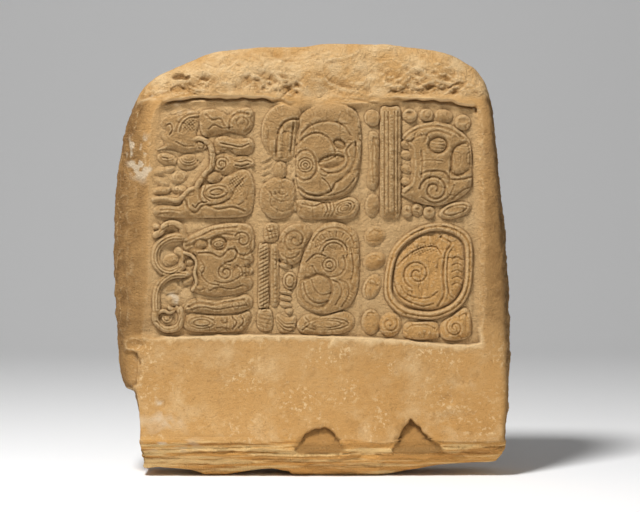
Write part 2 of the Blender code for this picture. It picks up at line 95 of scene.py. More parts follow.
def side(first, last, by, shares):
    """A side of the stone between two of its drawn points, read where column `by` has run these shares."""
    loop = smooth(LEFT_EDGE + HEAD_EDGE + RIGHT_EDGE + FOOT_EDGE, True, OUTLINE_STEPS)
    loop = np.vstack([loop, loop[:1]])
    run = loop[first * OUTLINE_STEPS : last * OUTLINE_STEPS + 1]
    run = run[np.argsort(run[:, by])]
    places = run[0, by] + shares * (run[-1, by] - run[0, by])
    return np.column_stack([np.interp(places, run[:, by], run[:, k]) for k in range(4)])


def spaced(*stretches):
    """Places from 0 up, along stretches of (end, step), each cut evenly."""
    places = [np.zeros(1)]
    for end, step in stretches:
        start = places[-1][-1]
        count = max(1, round((end - start) / step))
        places.append(start + (end - start) * np.arange(1, count + 1) / count)
    return np.concatenate(places)


up_share = spaced((CARVED_FROM, COARSE), (FACE_TALL, FINE)) / FACE_TALL
across_share = spaced((FACE_WIDE, FINE)) / FACE_WIDE
corners = np.cumsum([len(LEFT_EDGE), len(HEAD_EDGE), len(RIGHT_EDGE), len(FOOT_EDGE)])
left = side(0, corners[0], 3, up_share)
top = side(corners[0], corners[1], 2, across_share)
right = side(corners[1], corners[2], 3, up_share)
foot = side(corners[2], corners[3], 2, across_share)


def patch(k):
    """One coordinate over the face: opposite sides blended, less the corners, which both blends hold."""
    u, v = across_share[None, :], up_share[:, None]
    sides = (1 - u) * left[:, None, k] + u * right[:, None, k]
    sides = sides + (1 - v) * foot[None, :, k] + v * top[None, :, k]
    near = (1 - u) * left[0, k] + u * right[0, k]
    far = (1 - u) * left[-1, k] + u * right[-1, k]
    return sides - (1 - v) * near - v * far


def around(edge_k):
    """A coordinate of the four sides as one loop: foot, right, head, left."""
    return np.concatenate([foot[:-1, edge_k], right[:-1, edge_k], top[:0:-1, edge_k], left[:0:-1, edge_k]])


face = np.dstack([patch(2), np.zeros((len(up_share), len(across_share))), patch(3)])
rows, columns = face.shape[:2]
index = np.arange(rows * columns).reshape(rows, columns)
rim_index = np.concatenate([index[0, :-1], index[:-1, -1], index[-1, :0:-1], index[:0:-1, 0]])
wide = np.clip(np.column_stack([around(0), around(1)]), 0, [DRAWN_WIDE, DRAWN_TALL])
rim = np.column_stack([around(2), around(3)])
centre = np.array([DRAWN_WIDE, DRAWN_TALL]) / 2


def ring(outline, depth):
    """Points round the stone along this outline, all at one depth behind the face."""
    return np.column_stack([outline[:, 0], np.full(len(outline), depth), outline[:, 1]])


rings = []
rolls = np.radians(np.linspace(0, 90, ROLL_STEPS + 1)[1:])
for turn in rolls:
    rings.append(ring(rim + (wide - rim) * math.sin(turn), FRONT_ROUND * (1 - math.cos(turn))))
for depth in np.linspace(FRONT_ROUND, DEEP - BACK_ROUND, SIDE_STEPS + 1)[1:]:
    rings.append(ring(wide, depth))
for turn in np.radians(np.linspace(0, 90, BACK_ROLL_STEPS + 1)[1:]):
    inset = BACK_INSET * (1 - math.cos(turn))
    rings.append(ring(wide + (centre - wide) * inset, DEEP - BACK_ROUND * (1 - math.sin(turn))))
for share in np.linspace(BACK_INSET, 1, BACK_STEPS + 2)[1:-1]:
    rings.append(ring(wide + (centre - wide) * share, DEEP))
rings.append(np.array([[centre[0], DEEP, centre[1]]]))
points = np.vstack([face.reshape(-1, 3)] + rings)
points *= [WIDE / DRAWN_WIDE, 1, TALL / DRAWN_TALL]

below, above = index[:-1], index[1:]
squares = (below[:, :-1], below[:, 1:], above[:, 1:], above[:, :-1])
quads = [np.column_stack([corner.ravel() for corner in squares])]
loop = rim_index
for number in range(len(rings) - 1):
    outer = rows * columns + number * len(rim) + np.arange(len(rim))
    quads.append(np.column_stack([loop, outer, np.roll(outer, -1), np.roll(loop, -1)]))
    loop = outer
quads = np.vstack(quads)
fan = np.column_stack([loop, np.full(len(loop), len(points) - 1), np.roll(loop, -1)])
mesh = bpy.data.meshes.new("carved stone")
mesh.from_pydata(points.tolist(), [], quads.tolist() + fan.tolist())
mesh.update()
normals = np.empty(len(points) * 3, np.float32)
mesh.vertices.foreach_get("normal", normals)
normals = normals.reshape(-1, 3)

# The carving: a shallow sunk field holds two rows of three blocks. Each is cut out of the same stone in low
# relief, as rounded plates, bosses, half-round bands and V-cut lines, and its strokes spell nothing.

SINK, FACE_GAP = 6.4, 1.0
FIELD_LEFT, FIELD_RIGHT, FIELD_HEAD, FIELD_FOOT = 39.0, 32.5, 55.5, 134.0
LEFT_GAP, RIGHT_GAP, COLUMN_GAP, FOOT_GAP, ROW_GAP, HEAD_GAP = 3.5, 12.5, 0.5, 12.0, 3.0, 11.0
FIELD_WIDE = WIDE - FIELD_LEFT - FIELD_RIGHT
FIELD_TALL = TALL - FIELD_HEAD - FIELD_FOOT
BLOCK_WIDE = (FIELD_WIDE - LEFT_GAP - RIGHT_GAP - 2 * COLUMN_GAP) / 3
BLOCK_TALL = (FIELD_TALL - FOOT_GAP - ROW_GAP - HEAD_GAP) / 2
TOP = SINK - FACE_GAP
MIDDLE, LOWER, HIGHEST = 0.85 * TOP, 0.58 * TOP, 1.08 * TOP
BLOCK_DRAWN = np.array([105.5, 111.0])
WALL_GAP, EDGE_DROP, EDGE_REACH = 0.8, 3.3, 2.9  # the cut at a wall's foot, and how an edge is rubbed down
PLATE_CROWN, LOBE_CROWN, CROWN_REACH = 0.7, 0.9, 12
OVAL_POINTS, ARC_POINTS, SCROLL_POINTS = 20, 14, 40

# The field's edge, in hundredths of its width and height
FIELD_EDGE = [
    (3.4, 96.8), (7, 98.4), (15.4, 99.2), (34, 99.6), (42.4, 97.6), (59, 98.8), (84.4, 98.8), (95, 96.4),
    (98.8, 94), (99.4, 70.6), (100, 34.3), (99.4, 6), (98.8, 0), (87.4, 0), (75.4, 1.6), (60.4, 2.8),
    (30.4, 3.6), (0, 3.2), (0, 10), (0.4, 26.2), (0.4, 50.4), (1, 74.6), (2, 90.7),
]

flat_x, flat_z = points[: rows * columns, 0], points[: rows * columns, 2]
rise = np.zeros(rows * columns)


def eased(low, high, value):
    """0 below low, 1 above high, and an S-curve between."""
    t = np.clip((value - low) / (high - low), 0, 1)
    return t * t * (3 - 2 * t)


def nearby(line, reach):
    """The face's points inside the line's box grown by reach."""
    low, high = line.min(0) - reach, line.max(0) + reach
    return np.flatnonzero((flat_x > low[0]) & (flat_x < high[0]) & (flat_z > low[1]) & (flat_z < high[1]))


def along_line(x, z, line, closed=False):
    """Distance of each point to the line, and how far along it the nearest place lies."""
    ends = np.vstack([line, line[:1]]) if closed else line
    lengths = np.hypot(*(ends[1:] - ends[:-1]).T)
    starts = np.concatenate([[0], np.cumsum(lengths)])
    best = np.full(len(x), 1e9)
    place = np.zeros(len(x))
    for a, b, length, start in zip(ends[:-1], ends[1:], lengths, starts):
        if length < 1e-9:
            continue
        t = np.clip(((x - a[0]) * (b[0] - a[0]) + (z - a[1]) * (b[1] - a[1])) / length**2, 0, 1)
        d = np.hypot(x - a[0] - t * (b[0] - a[0]), z - a[1] - t * (b[1] - a[1]))
        closer = d < best
        best = np.where(closer, d, best)
        place = np.where(closer, start + t * length, place)
    return best, place


def within(x, z, line):
    """Whether each point lies inside the closed line, by the crossings of a ray."""
    inside = np.zeros(len(x), bool)
    for a, b in zip(line, np.roll(line, -1, 0)):
        if a[1] != b[1]:
            inside ^= ((a[1] > z) != (b[1] > z)) & (x < (b[0] - a[0]) * (z - a[1]) / (b[1] - a[1]) + a[0])
    return inside


def depth_inside(x, z, line):
    """Distance to the closed line, positive inside it."""
    away = along_line(x, z, line, True)[0]
    return np.where(within(x, z, line), away, -away)


def oval(u, v, wide_half, tall_half, tilt=0):
    """Points of an ellipse about (u, v), with these half-sizes, turned by tilt degrees."""
    a = np.arange(OVAL_POINTS) * math.tau / OVAL_POINTS
    x, y = wide_half * np.cos(a), tall_half * np.sin(a)
    c, s = math.cos(math.radians(tilt)), math.sin(math.radians(tilt))
    return np.column_stack([u + c * x - s * y, v + s * x + c * y])


def arc(u, v, wide_half, tall_half, start, end):
    """Points of an ellipse about (u, v) between two angles in degrees."""
    a = np.radians(np.linspace(start, end, ARC_POINTS))
    return np.column_stack([u + wide_half * np.cos(a), v + tall_half * np.sin(a)])


def scroll(u, v, outer, inner, start, turn):
    """Points of a spiral whose radius falls evenly from outer to inner as it turns through turn degrees."""
    t = np.linspace(0, 1, SCROLL_POINTS)
    a = np.radians(start + turn * t)
    radius = outer + (inner - outer) * t
    return np.column_stack([u + radius * np.cos(a), v + radius * np.sin(a)])


class Block:
    """One carved block, whose shapes are drawn in millimetres from the foot of its left side."""

    def __init__(self, column, row, lean, sag):
        self.scale = np.array([BLOCK_WIDE, BLOCK_TALL]) / BLOCK_DRAWN
        left_foot = np.array([
            FIELD_LEFT + LEFT_GAP + column * (BLOCK_WIDE + COLUMN_GAP),
            FIELD_FOOT + FOOT_GAP + row * (BLOCK_TALL + ROW_GAP),
        ])
        self.corner = left_foot - np.array([lean, sag]) * self.scale

    def set_out(self, line):
        """The block's drawn points scaled and carried to their place on the face."""
        return self.corner + np.asarray(line, float) * self.scale

    def form(self, line, level, lip, crown):
        """A raised form: an S-shaped wall and a worn edge that eases up to the top, perhaps with a line."""
        line = self.set_out(line)
        near = nearby(line, 3)
        inside = depth_inside(flat_x[near], flat_z[near], line)
        gap = np.exp(-((inside / 1.2) ** 2)) * (inside < 0) * WALL_GAP
        body = eased(-0.8, 1.2, inside)
        top = level - EDGE_DROP * np.exp(-np.maximum(inside, 0) / EDGE_REACH)
        top = top + crown * eased(0, CROWN_REACH, inside)
        if lip:
            top = top - 0.8 * np.exp(-(((inside - lip) / 0.6) ** 2))
        rise[near] = (rise[near] - gap) * (1 - body) + top * body

    def ground(self, line, share=0.25):
        """The block's own low bed, between the field's floor and its forms, with a wide soft edge."""
        line = self.set_out(smooth(line, True))
        near = nearby(line, 4)
        inside = depth_inside(flat_x[near], flat_z[near], line)
        rise[near] = np.maximum(rise[near], share * TOP * eased(-1.5, 2.5, inside))

    def plate(self, line, level=TOP, lip=0.0):
        """A raised form with a nearly flat top inside a smooth closed curve."""
        self.form(smooth(line, True), level, lip, PLATE_CROWN)

    def lobe(self, u, v, wide_half, tall_half, tilt=0, level=TOP, lip=0.0):
        """A raised form on an ellipse, its top rounded a little more than a plate's."""
        self.form(oval(u, v, wide_half, tall_half, tilt), level - LOBE_CROWN / 2, lip, LOBE_CROWN)

    def lobes(self, level, *places):
        """Lobes of one level, each by its middle, its half-sizes and, where it leans, its tilt."""
        for place in places:
            self.lobe(*place, level=level)

    def band(self, line, width, height=TOP):
        """A half-round moulding along a curve: its height falls from the middle as a half ellipse."""
        line = self.set_out(smooth(line))
        near = nearby(line, width)
        away = along_line(flat_x[near], flat_z[near], line)[0] / (width / 2)
        arch = height * np.sqrt(np.clip(1 - away**2, 0, 1))
        rise[near] = np.where(away > 1, rise[near], np.maximum(rise[near], arch))

    def groove(self, line, width=2.1, depth=1.3, drawn=False):
        """A cut along a curve: a bell curve across, between two low swellings."""
        line = self.set_out(line if drawn else smooth(line))
        near = nearby(line, 3 * width)
        away = along_line(flat_x[near], flat_z[near], line)[0] / (width / 2)
        rise[near] -= depth * (np.exp(-(away**2)) - 0.3 * np.exp(-(((away - 2.0) / 1.1) ** 2)))

    def grooves(self, width, depth, *lines):
        """Cuts of one width and depth, one after another."""
        for line in lines:
            self.groove(line, width, depth)

    def ridge(self, line, width, height):
        """A low round along a curve: a cut turned upside down."""
        self.groove(line, width, -height)

    def coil(self, u, v, outer, inner, start, turn, width, depth=1.2):
        """A cut along a spiral."""
        self.groove(scroll(u, v, outer, inner, start, turn), width, depth, True)

    def pit(self, u, v, wide_half, tall_half, depth):
        """A hollow with a round floor and a soft rim: a bell curve of the distance's third power."""
        x, z = self.set_out((u, v))
        away = ((flat_x - x) / wide_half) ** 2 + ((flat_z - z) / tall_half) ** 2
        rise[:] -= depth * np.exp(-(away**1.5))

    def beads(self, line, radius, pitch, height):
        """Round beads at even steps along a curve: half balls pressed flatter or taller."""
        line = self.set_out(smooth(line))
        near = nearby(line, 2 * radius)
        away, place = along_line(flat_x[near], flat_z[near], line)
        beside = (place / pitch - np.floor(place / pitch) - 0.5) * pitch
        rise[near] += height * np.sqrt(np.clip(1 - (away**2 + beside**2) / radius**2, 0, 1))

    def hatch(self, line, pitch, angle, depth, crossed=False):
        """Fine parallel cuts inside an outline, each a bell curve across."""
        line = self.set_out(smooth(line, True))
        near = nearby(line, 1)
        inside = eased(0.2, 1.6, depth_inside(flat_x[near], flat_z[near], line))
        for turn in (angle, angle + 90) if crossed else (angle,):
            c, s = math.cos(math.radians(turn)), math.sin(math.radians(turn))
            t = (flat_x[near] * c + flat_z[near] * s) / pitch
            rise[near] -= depth * inside * np.exp(-(((t - np.round(t)) * pitch / 0.55) ** 2))


# Upper left block: a bent plate and two stepped ones over hanging lobes, with a band down to a broad body.
# Cut with a flat chisel and a point, then rubbed smooth, so its edges are soft.
b = Block(0, 1, 0, 0)
b.ground([(1, 2), (0, 14), (8, 22), (26, 24), (38, 40), (42, 58), (24, 64), (5, 68), (8, 80), (7, 96),
          (16, 107), (46, 110), (98, 111), (102, 100), (100, 60), (102, 20), (94, 3), (50, 1)])
b.plate([(3, 3.5), (0.5, 10), (8, 14), (27, 13.5), (32, 24), (42, 31), (56, 35), (66, 37), (76, 45),
         (87, 50), (97, 47), (102, 34), (101, 16), (94, 3), (60, 1), (20, 1)])
b.plate([(4, 69), (12, 74), (9, 83), (14, 88), (8, 95), (14, 103), (24, 104), (38, 109), (47, 106),
         (46, 94), (44, 83), (54, 78), (55, 71), (44, 68), (31, 66), (18, 70)], MIDDLE)
b.plate([(48, 107), (60, 110), (70, 107), (76, 104), (83, 109), (96, 111.5), (101.5, 105), (100, 92),
         (92, 84), (78, 87), (64, 84), (51, 82), (47, 94)])
b.plate([(62, 79), (72, 83), (84, 80), (97, 81), (102, 74), (98.5, 66), (89, 63.5), (81, 66), (75, 70),
         (64, 64)])
b.plate([(62, 62), (72, 66), (82, 62), (90, 64), (99, 60), (102, 54), (91, 51), (85, 48.5), (77, 44),
         (68, 45), (61, 50)], MIDDLE)
b.lobes(MIDDLE, (14.5, 60, 10.5, 6, -15), (36, 57.5, 11.5, 8, 10), (9, 28.5, 9, 4.4, 8))
b.lobes(LOWER, (7, 47.5, 6.6, 5, 10), (8.5, 37.5, 8.5, 4.4, -25), (26, 42, 9.5, 6.5, 20),
        (27, 29, 8, 5, 0), (17, 50, 6, 4, 20), (47, 62, 5, 6, 10))
b.band([(40, 79), (48, 80), (58, 73), (60, 55), (51, 43), (45, 34), (43, 24), (36, 15)], 6.4, HIGHEST)
b.band([(0, 19.5), (12, 20.5), (24, 18.5), (31, 23), (37, 29), (44, 31)], 5.6)
b.lobe(61.5, 41.5, 8, 6, 10, HIGHEST)
b.pit(21, 26, 5, 3, 1.8)
b.pit(95.5, 88, 4, 2.6, 1.4)
for size in (0.0, 3.4):
    b.groove([(24 + size, 88), (27 + size, 97 - size / 2), (35 + size / 2, 103.5 - size / 1.3),
              (46, 105.5 - size)])
for size in (2.6, 5.0, 7.6):
    b.groove(arc(36, 61, size + 2, size, 190, 350), 1.4, 0.9, True)
for size in (2.4, 4.8):
    b.groove(arc(15, 63, size + 3, size, 200, 345), 1.3, 0.8, True)
b.hatch([(32, 87), (31, 96), (42, 101), (43, 88)], 2.6, 40, 0.8, True)
b.coil(48, 73, 5.5, 2, 160, -300, 1.5)
b.grooves(1.5, 1.3, [(13, 93), (18, 95), (20, 89), (17, 84)], [(24, 77), (32, 73), (42, 73)])
b.grooves(2.1, 1.3, [(54, 104), (60, 99), (68, 100), (72, 93)], [(77, 90), (78, 100), (86, 106),
          (96, 105)])
b.groove([(86, 92), (84, 98), (90, 102), (96, 97), (93, 91)], 1.4, 0.8)
b.groove([(56, 90), (62, 94), (70, 91), (80, 92)], 1.5, 0.9)
b.groove([(68, 76), (78, 74), (88, 72), (96, 75)], 1.5)
b.groove([(70, 72), (80, 70)], 1.3, 0.8)
b.coil(69, 55, 7.5, 1.6, 20, 600, 1.5)
b.grooves(1.4, 1.3, [(82, 58), (88, 57), (94, 58.5), (99, 57)], [(83, 54), (89, 53), (96, 55)])
b.groove(oval(64, 27, 11.5, 6.2, 8), 1.8, 1.2, True)
b.groove(oval(64, 27, 6.5, 2.8, 8), 1.4, 0.9, True)
b.groove([(49, 32), (47, 22), (53, 15), (66, 15), (78, 21), (83, 31), (93, 42)])
b.groove([(53, 33), (51, 24), (57, 18)], 1.5)
b.hatch([(78, 24), (75, 34), (80, 42), (90, 44), (93, 34), (88, 24)], 2.5, 35, 0.8, True)
b.groove([(33, 19), (36, 10), (44, 7), (49, 13), (56, 13), (66, 10), (80, 12), (92, 8)])
b.groove([(40, 14), (43, 11.5), (47, 16), (55, 17)], 1.5)
b.grooves(1.5, 0.9, [(8, 9), (18, 9.5), (28, 8)], [(86, 14), (94, 20), (97, 32)])
b.coil(27, 42, 5, 1.2, 200, -420, 1.4, 0.9)
b.coil(24, 30, 3.6, 1, 60, 330, 1.2, 0.8)

# Upper middle block: a tall loop beside a great rounded form with nested arcs, over a lobe and a low band.
# The arcs were drawn with the point, one inside another.
b = Block(1, 1, 0, 1)
b.ground([(3, 4), (1, 20), (3, 60), (4, 92), (12, 112), (34, 116), (75, 117), (98, 108), (103, 84),
          (101, 44), (99, 8), (60, 1)])
b.plate([(5, 100), (12, 111), (22, 116), (36, 115.5), (43, 108), (42, 98), (38, 88), (36, 74), (34, 62),
         (24, 58), (13, 63), (4, 78), (3, 90)], MIDDLE)
b.plate([(42, 104), (55, 114), (75, 117), (91, 113), (100, 104), (103, 83), (102, 58), (98, 38),
         (88, 26), (72, 21), (55, 21), (42, 26), (38, 42), (37.5, 58), (39, 78), (41, 92)])
b.plate([(38, 20), (56, 19), (72, 17), (91, 23), (100, 18), (100, 9.7), (92, 1.6), (63, 0.6), (44, 1.5),
         (38, 9)])
b.plate([(2, 30), (8, 39), (16, 43), (29, 41), (36, 35), (38, 19), (35, 8), (26, 2), (13, 1.3),
         (4.3, 9), (1, 19)])
for v in (61, 54.5, 48, 41.5):
    b.lobe(8, v, 6.5, 2.6, 28, MIDDLE)
b.lobe(22, 50, 7, 9, 0, TOP)
b.lobe(31, 50, 3.6, 6, 0, LOWER)
b.groove([(17.5, 64), (19, 84), (24, 96), (32, 100.5), (40, 101)], 2.2, 1.6)
b.groove([(35, 97), (34, 86), (32, 66)], 2.0, 1.5)
b.ridge([(21, 64), (22.5, 84), (27, 93), (35, 97)], 3, 0.9)
b.groove([(24, 87), (28, 88.5), (33, 87)], 1.4, 0.8)
b.grooves(2.1, 1.3, [(42, 85), (53, 95), (70, 99), (84, 95), (92, 85)], [(38, 75), (48, 84), (60, 87),
          (71, 81), (77, 68)])
b.ridge([(42, 90), (53, 99.5), (70, 103), (86, 99), (95, 90)], 2.4, 0.5)
b.groove([(37, 63), (43, 69), (51, 69), (57, 61), (58, 50), (53, 42.5), (45, 40), (38, 44)], 2.2, 1.5)
for size in (7.6, 4.6, 1.9):
    b.groove(oval(47, 55, size, size * 0.95), 1.3, 0.9, True)
b.lobe(73, 59, 14, 7, 12, HIGHEST)
b.groove([(62, 58), (70, 60), (79, 65)], 1.5, 0.9)
b.lobe(81, 76, 7, 5, -30, TOP)
b.groove([(93, 76), (88, 70), (90, 58), (82, 49), (70, 47), (63, 51)], 2.2, 1.6)
b.groove([(77, 37), (90, 47), (97, 62), (97, 78)])
b.groove([(100, 46), (86, 30), (66, 24), (48, 27)], 1.5, 0.9)
b.groove([(40, 32), (50, 25.5), (62, 25), (72, 29), (76, 35)], 2.6, 1.9)
b.groove([(64, 42), (70, 36), (73, 29)], 1.5)
b.groove([(62, 46), (66, 44), (70, 47)], 1.3, 0.8)
b.hatch([(46, 104), (54, 111), (74, 114), (90, 110), (94, 102), (74, 107), (54, 102)], 3.4, 20, 0.45)
for size in (3.2, 6.4, 10.2):
    b.groove(arc(24, 29, size * 1.15, size, 185, 345), 1.4, 1.0, True)
b.groove(oval(24, 30, 3, 2), 1.2, 0.8, True)
b.groove([(35, 40), (37, 28), (36, 14)], 2.0, 1.3)
b.lobe(36.5, 13, 2.6, 4.6, 0, HIGHEST)
b.groove([(6, 33), (13, 26), (12, 16), (22, 9), (32, 11)], 1.4, 0.8)
b.groove([(44, 16), (56, 14), (66, 17), (70, 8)], 1.6)
for shift in (0.0, 3.4, 6.8):
    b.groove([(66 + shift, 4), (69 + shift, 10), (68 + shift, 17)], 1.4, 0.9)
for size in (10.5, 7.4, 4.4):
    b.groove(oval(86, 12, size, size * 0.62, 25), 1.4, 1.0, True)

# Upper right block: an upright bar with knobs beside it, and a rounded form under a row of four knobs.
# The knobs were left as bosses and two of them drilled.
b = Block(2, 1, 0, 2)
b.ground([(2, 6), (2, 110), (20, 113), (60, 112), (96, 107), (108, 92), (108, 20), (104, 2), (60, 2),
          (20, 3)], 0.12)
b.plate([(16, 112), (26, 114), (36, 112), (37, 80), (37, 40), (36, 6), (26, 3.5), (16, 6), (15.5, 40),
         (15.5, 80)])
b.plate([(4, 85), (9, 90), (14.5, 84), (14.5, 60), (14, 38), (9, 31), (2.5, 37), (5, 60)], MIDDLE)
b.lobe(8, 103, 8, 8.6, 20)
b.lobe(8, 15.5, 7.4, 12, -5, MIDDLE)
b.plate([(38, 84), (46, 92), (56, 97), (71, 99.5), (87, 96), (100, 87), (107, 76), (108, 50), (107, 34),
         (100, 26), (88, 19), (73, 15), (57, 17), (44, 22), (36.5, 27), (44, 34), (47, 50), (45, 70)])
for v in (76.5, 66, 52, 39):
    b.lobe(42, v, 6, 4.6, -20, MIDDLE)
for u, v, wide_half, tall_half in ((45.5, 105.5, 7.6, 7), (62, 106, 7.4, 6.4), (79.5, 105, 9.2, 6.8),
                                    (98.5, 98.5, 8.2, 8)):
    b.lobe(u, v, wide_half, tall_half, -10)
b.pit(46, 107.5, 4, 2.6, 3.4)
b.pit(99, 100.5, 4.2, 2.6, 3)
for u, v in ((43, 9.5), (53, 11), (65, 8.5)):
    b.lobe(u, v, 6, 6.4)
    b.pit(u + 0.5, v + 1, 2.2, 1.6, 2)
b.lobe(91, 10.5, 17, 8, 16)
b.groove(oval(91, 11, 12, 4.2, 16), 1.6, 1.1, True)
b.pit(91, 12, 9, 2.6, 1.6)
for u in (20, 24, 30, 33.5):
    b.groove([(u, 109), (u, 60), (u, 8)], 1.3, 1.0)
b.beads([(27, 107), (27, 60), (27, 9)], 1.5, 3.4, 0.9)
b.beads([(18, 106), (18, 60), (18, 10)], 1.0, 2.6, 0.5)
b.groove([(9, 84), (8, 60), (9, 38)], 1.5, 0.9)
b.lobe(12, 79, 3, 4, 20, HIGHEST)
b.groove([(38, 80), (46, 88), (57, 93), (71, 95), (86, 91.5), (99, 83)])
b.groove([(44, 78), (52, 84), (62, 86), (66, 80)], 1.8, 1.2)
b.band([(46, 78), (50.5, 72), (51.5, 52), (49, 38), (40, 30)], 5.4, HIGHEST)
for size in (4.6, 2.4):
    b.groove(arc(55, 85.5, size, size, 10, 190), 1.3, 0.9, True)
b.lobe(73.5, 76, 10.4, 9.2, 0, HIGHEST, 1.6)
b.hatch(oval(73.5, 76, 8, 7), 3.3, 86, 1.0)
b.groove([(60, 80), (64, 88), (74, 90), (86, 86)])
b.plate([(88, 72), (95, 78), (103, 79), (107, 70), (107, 54), (101, 47), (92, 45), (86, 49),
         (86, 60)], HIGHEST, 1.8)
b.groove([(56, 60), (66, 61), (78, 60)], 1.4, 0.8)
b.groove([(56, 47), (66, 50), (80, 49), (86, 42), (98, 42), (107, 44)])
b.groove([(57, 70), (58, 58), (57, 44)], 1.8, 1.2)
b.coil(70, 31.5, 14.5, 3, 175, -560, 2.2, 1.6)
b.grooves(1.5, 0.9, [(57, 24), (70, 18.5), (84, 24), (90, 36)], [(88, 22), (97, 30), (106, 34)])

# Lower left block: two open scrolls and a hook at the left, a notched body at the right, and two low bands.
# The scrolls have three rounds side by side, with a groove run between them.
b = Block(0, 0, 0, 0)
b.ground([(4, 3), (0, 20), (1, 60), (0, 84), (8, 104), (24, 109), (50, 108), (84, 110), (101, 104),
          (100, 60), (101, 30), (98, 4), (60, 0)], 0.2)
b.plate([(31, 93), (46, 102), (62, 108), (85, 110), (99, 106), (102, 88), (98.5, 80), (101, 73),
         (96, 68), (101, 62), (97, 57), (100, 50), (97, 44), (88, 40), (77, 37.5), (61, 36.5), (46, 39),
         (38, 44), (44, 53), (42, 67), (43, 77), (32, 83)])
b.plate([(32, 27), (42, 34.5), (61, 32), (81, 34.5), (93, 38.5), (100, 33), (97.5, 24.5), (83, 20),
         (61, 19), (44, 20.5), (32, 21)])
b.plate([(31, 12), (37, 18.6), (61, 17), (85, 17.8), (95.5, 21.5), (98.5, 14), (93, 5.4), (85, 1),
         (54, 0), (38, 1.4), (31, 5)])
b.lobe(4, 106, 4.5, 3.6, -30, MIDDLE)
b.band([(3, 98), (8, 101), (12, 107), (20, 109.5), (28, 106), (31, 98), (34, 92)], 7)
b.band([(31, 96), (20, 95.5), (9, 91), (3.5, 83), (2.8, 72), (9, 62.5), (19, 60.5), (28, 65), (30, 75),
        (25, 82)], 9)
b.band([(34, 58), (20, 58), (8, 50), (3.5, 38), (3.5, 22)], 8.4)
b.band([(3.5, 25), (2.6, 12), (12, 3.5), (24, 5), (29, 14), (26, 24), (18, 25)], 7.4)
b.groove([(7, 101), (13, 105.5), (20, 107.5), (27, 103)], 1.3, 0.9)
for shift in (1.5, -1.5):
    b.groove([(29, 95 + shift), (20, 95.2 + shift), (9.4 - shift * 0.7, 90 + shift * 0.7),
              (3.8 - shift, 82), (3.2 - shift, 72), (9 - shift * 0.7, 63 - shift * 0.7),
              (19, 60.7 - shift), (27.4 + shift * 0.7, 66)], 1.3, 1.0)
    b.groove([(33, 58 + shift), (20, 57.8 + shift), (8.4 - shift * 0.7, 49.5 + shift * 0.7),
              (3.8 - shift, 38), (3.6 - shift, 24)], 1.3, 0.9)
b.groove([(3.4, 12), (12, 4), (23, 5.6), (28, 14)], 1.3, 0.9)
b.lobe(18, 73, 8.4, 6.4, 20, MIDDLE)
b.pit(19.5, 84, 6.4, 4.4, 3.4)
b.pit(18, 101.5, 5, 2.4, 3)
b.groove([(12, 70), (18, 67), (24, 70)], 1.4, 0.9)
b.lobes(LOWER, (20, 45, 12, 8, 20), (21, 32, 9, 7, -20), (14, 13.5, 8, 7, 0), (30, 50, 6, 5, 0))
b.band([(4, 19), (10, 22), (17, 20), (24, 25)], 4, MIDDLE)
b.pit(22, 24, 3.4, 2.4, 2.4)
for size in (3, 6):
    b.groove(arc(14, 15, size, size, 180, 360), 1.3, 0.9, True)
b.band([(31, 80), (38, 78), (44, 70), (42, 60), (44, 50), (40, 43)], 4.2, HIGHEST)
b.lobes(MIDDLE, (36, 71, 5.4, 4), (35, 52, 6, 4.5, 30))
b.groove([(33, 91), (48, 97), (62, 103.5), (84, 106)], 1.8, 1.2)
b.groove([(33, 87), (44, 90), (56, 94), (70, 99), (80, 98)])
b.lobes(HIGHEST, (48, 88.5, 8, 6.2, 10), (66, 90, 8.4, 7.6, -5))
b.groove(oval(66, 89, 5.4, 3, 10), 1.3, 0.9, True)
b.groove(oval(66, 89, 2.4, 1.2, 10), 1.1, 0.7, True)
b.groove([(46, 80), (58, 80), (68, 76), (77, 84), (84, 82), (82, 74), (72, 70)], 2, 1.4)
b.coil(90, 93, 8.6, 2, 150, -420, 1.6, 1.1)
b.groove([(82, 86), (86, 79), (94, 78), (99, 82)])
b.coil(73, 60.5, 8.6, 1.6, 60, 560, 1.6, 1.1)
b.groove([(48, 73), (52, 66), (49, 58), (56, 50), (66, 48)], 1.6, 1.0)
b.coil(50, 64, 4.6, 1.2, 90, 400, 1.2, 0.7)
b.groove([(62, 52), (72, 50), (84, 54), (92, 60)], 1.5, 0.9)
b.groove([(56, 42), (66, 46), (78, 44), (90, 48)], 1.4, 0.9)
b.groove([(84, 68), (89, 64), (90, 57)], 1.5, 0.9)
b.groove([(36, 26), (46, 30), (60, 28), (76, 31), (92, 33.5)])
b.groove([(38, 23), (50, 26), (64, 23.5), (80, 26), (94, 28)], 1.5, 0.9)
for size in (1.0, 0.62):
    b.groove(oval(49, 10, 13 * size, 5.6 * size), 1.4, 0.9, True)
b.lobe(72, 12, 3.6, 3.2, 0, HIGHEST)
b.grooves(1.5, 1.3, [(80, 4), (84, 10), (80, 15)], [(86, 5), (91, 11), (88, 17)])
b.groove([(64, 5), (70, 5.5), (76, 4)], 1.4, 0.8)

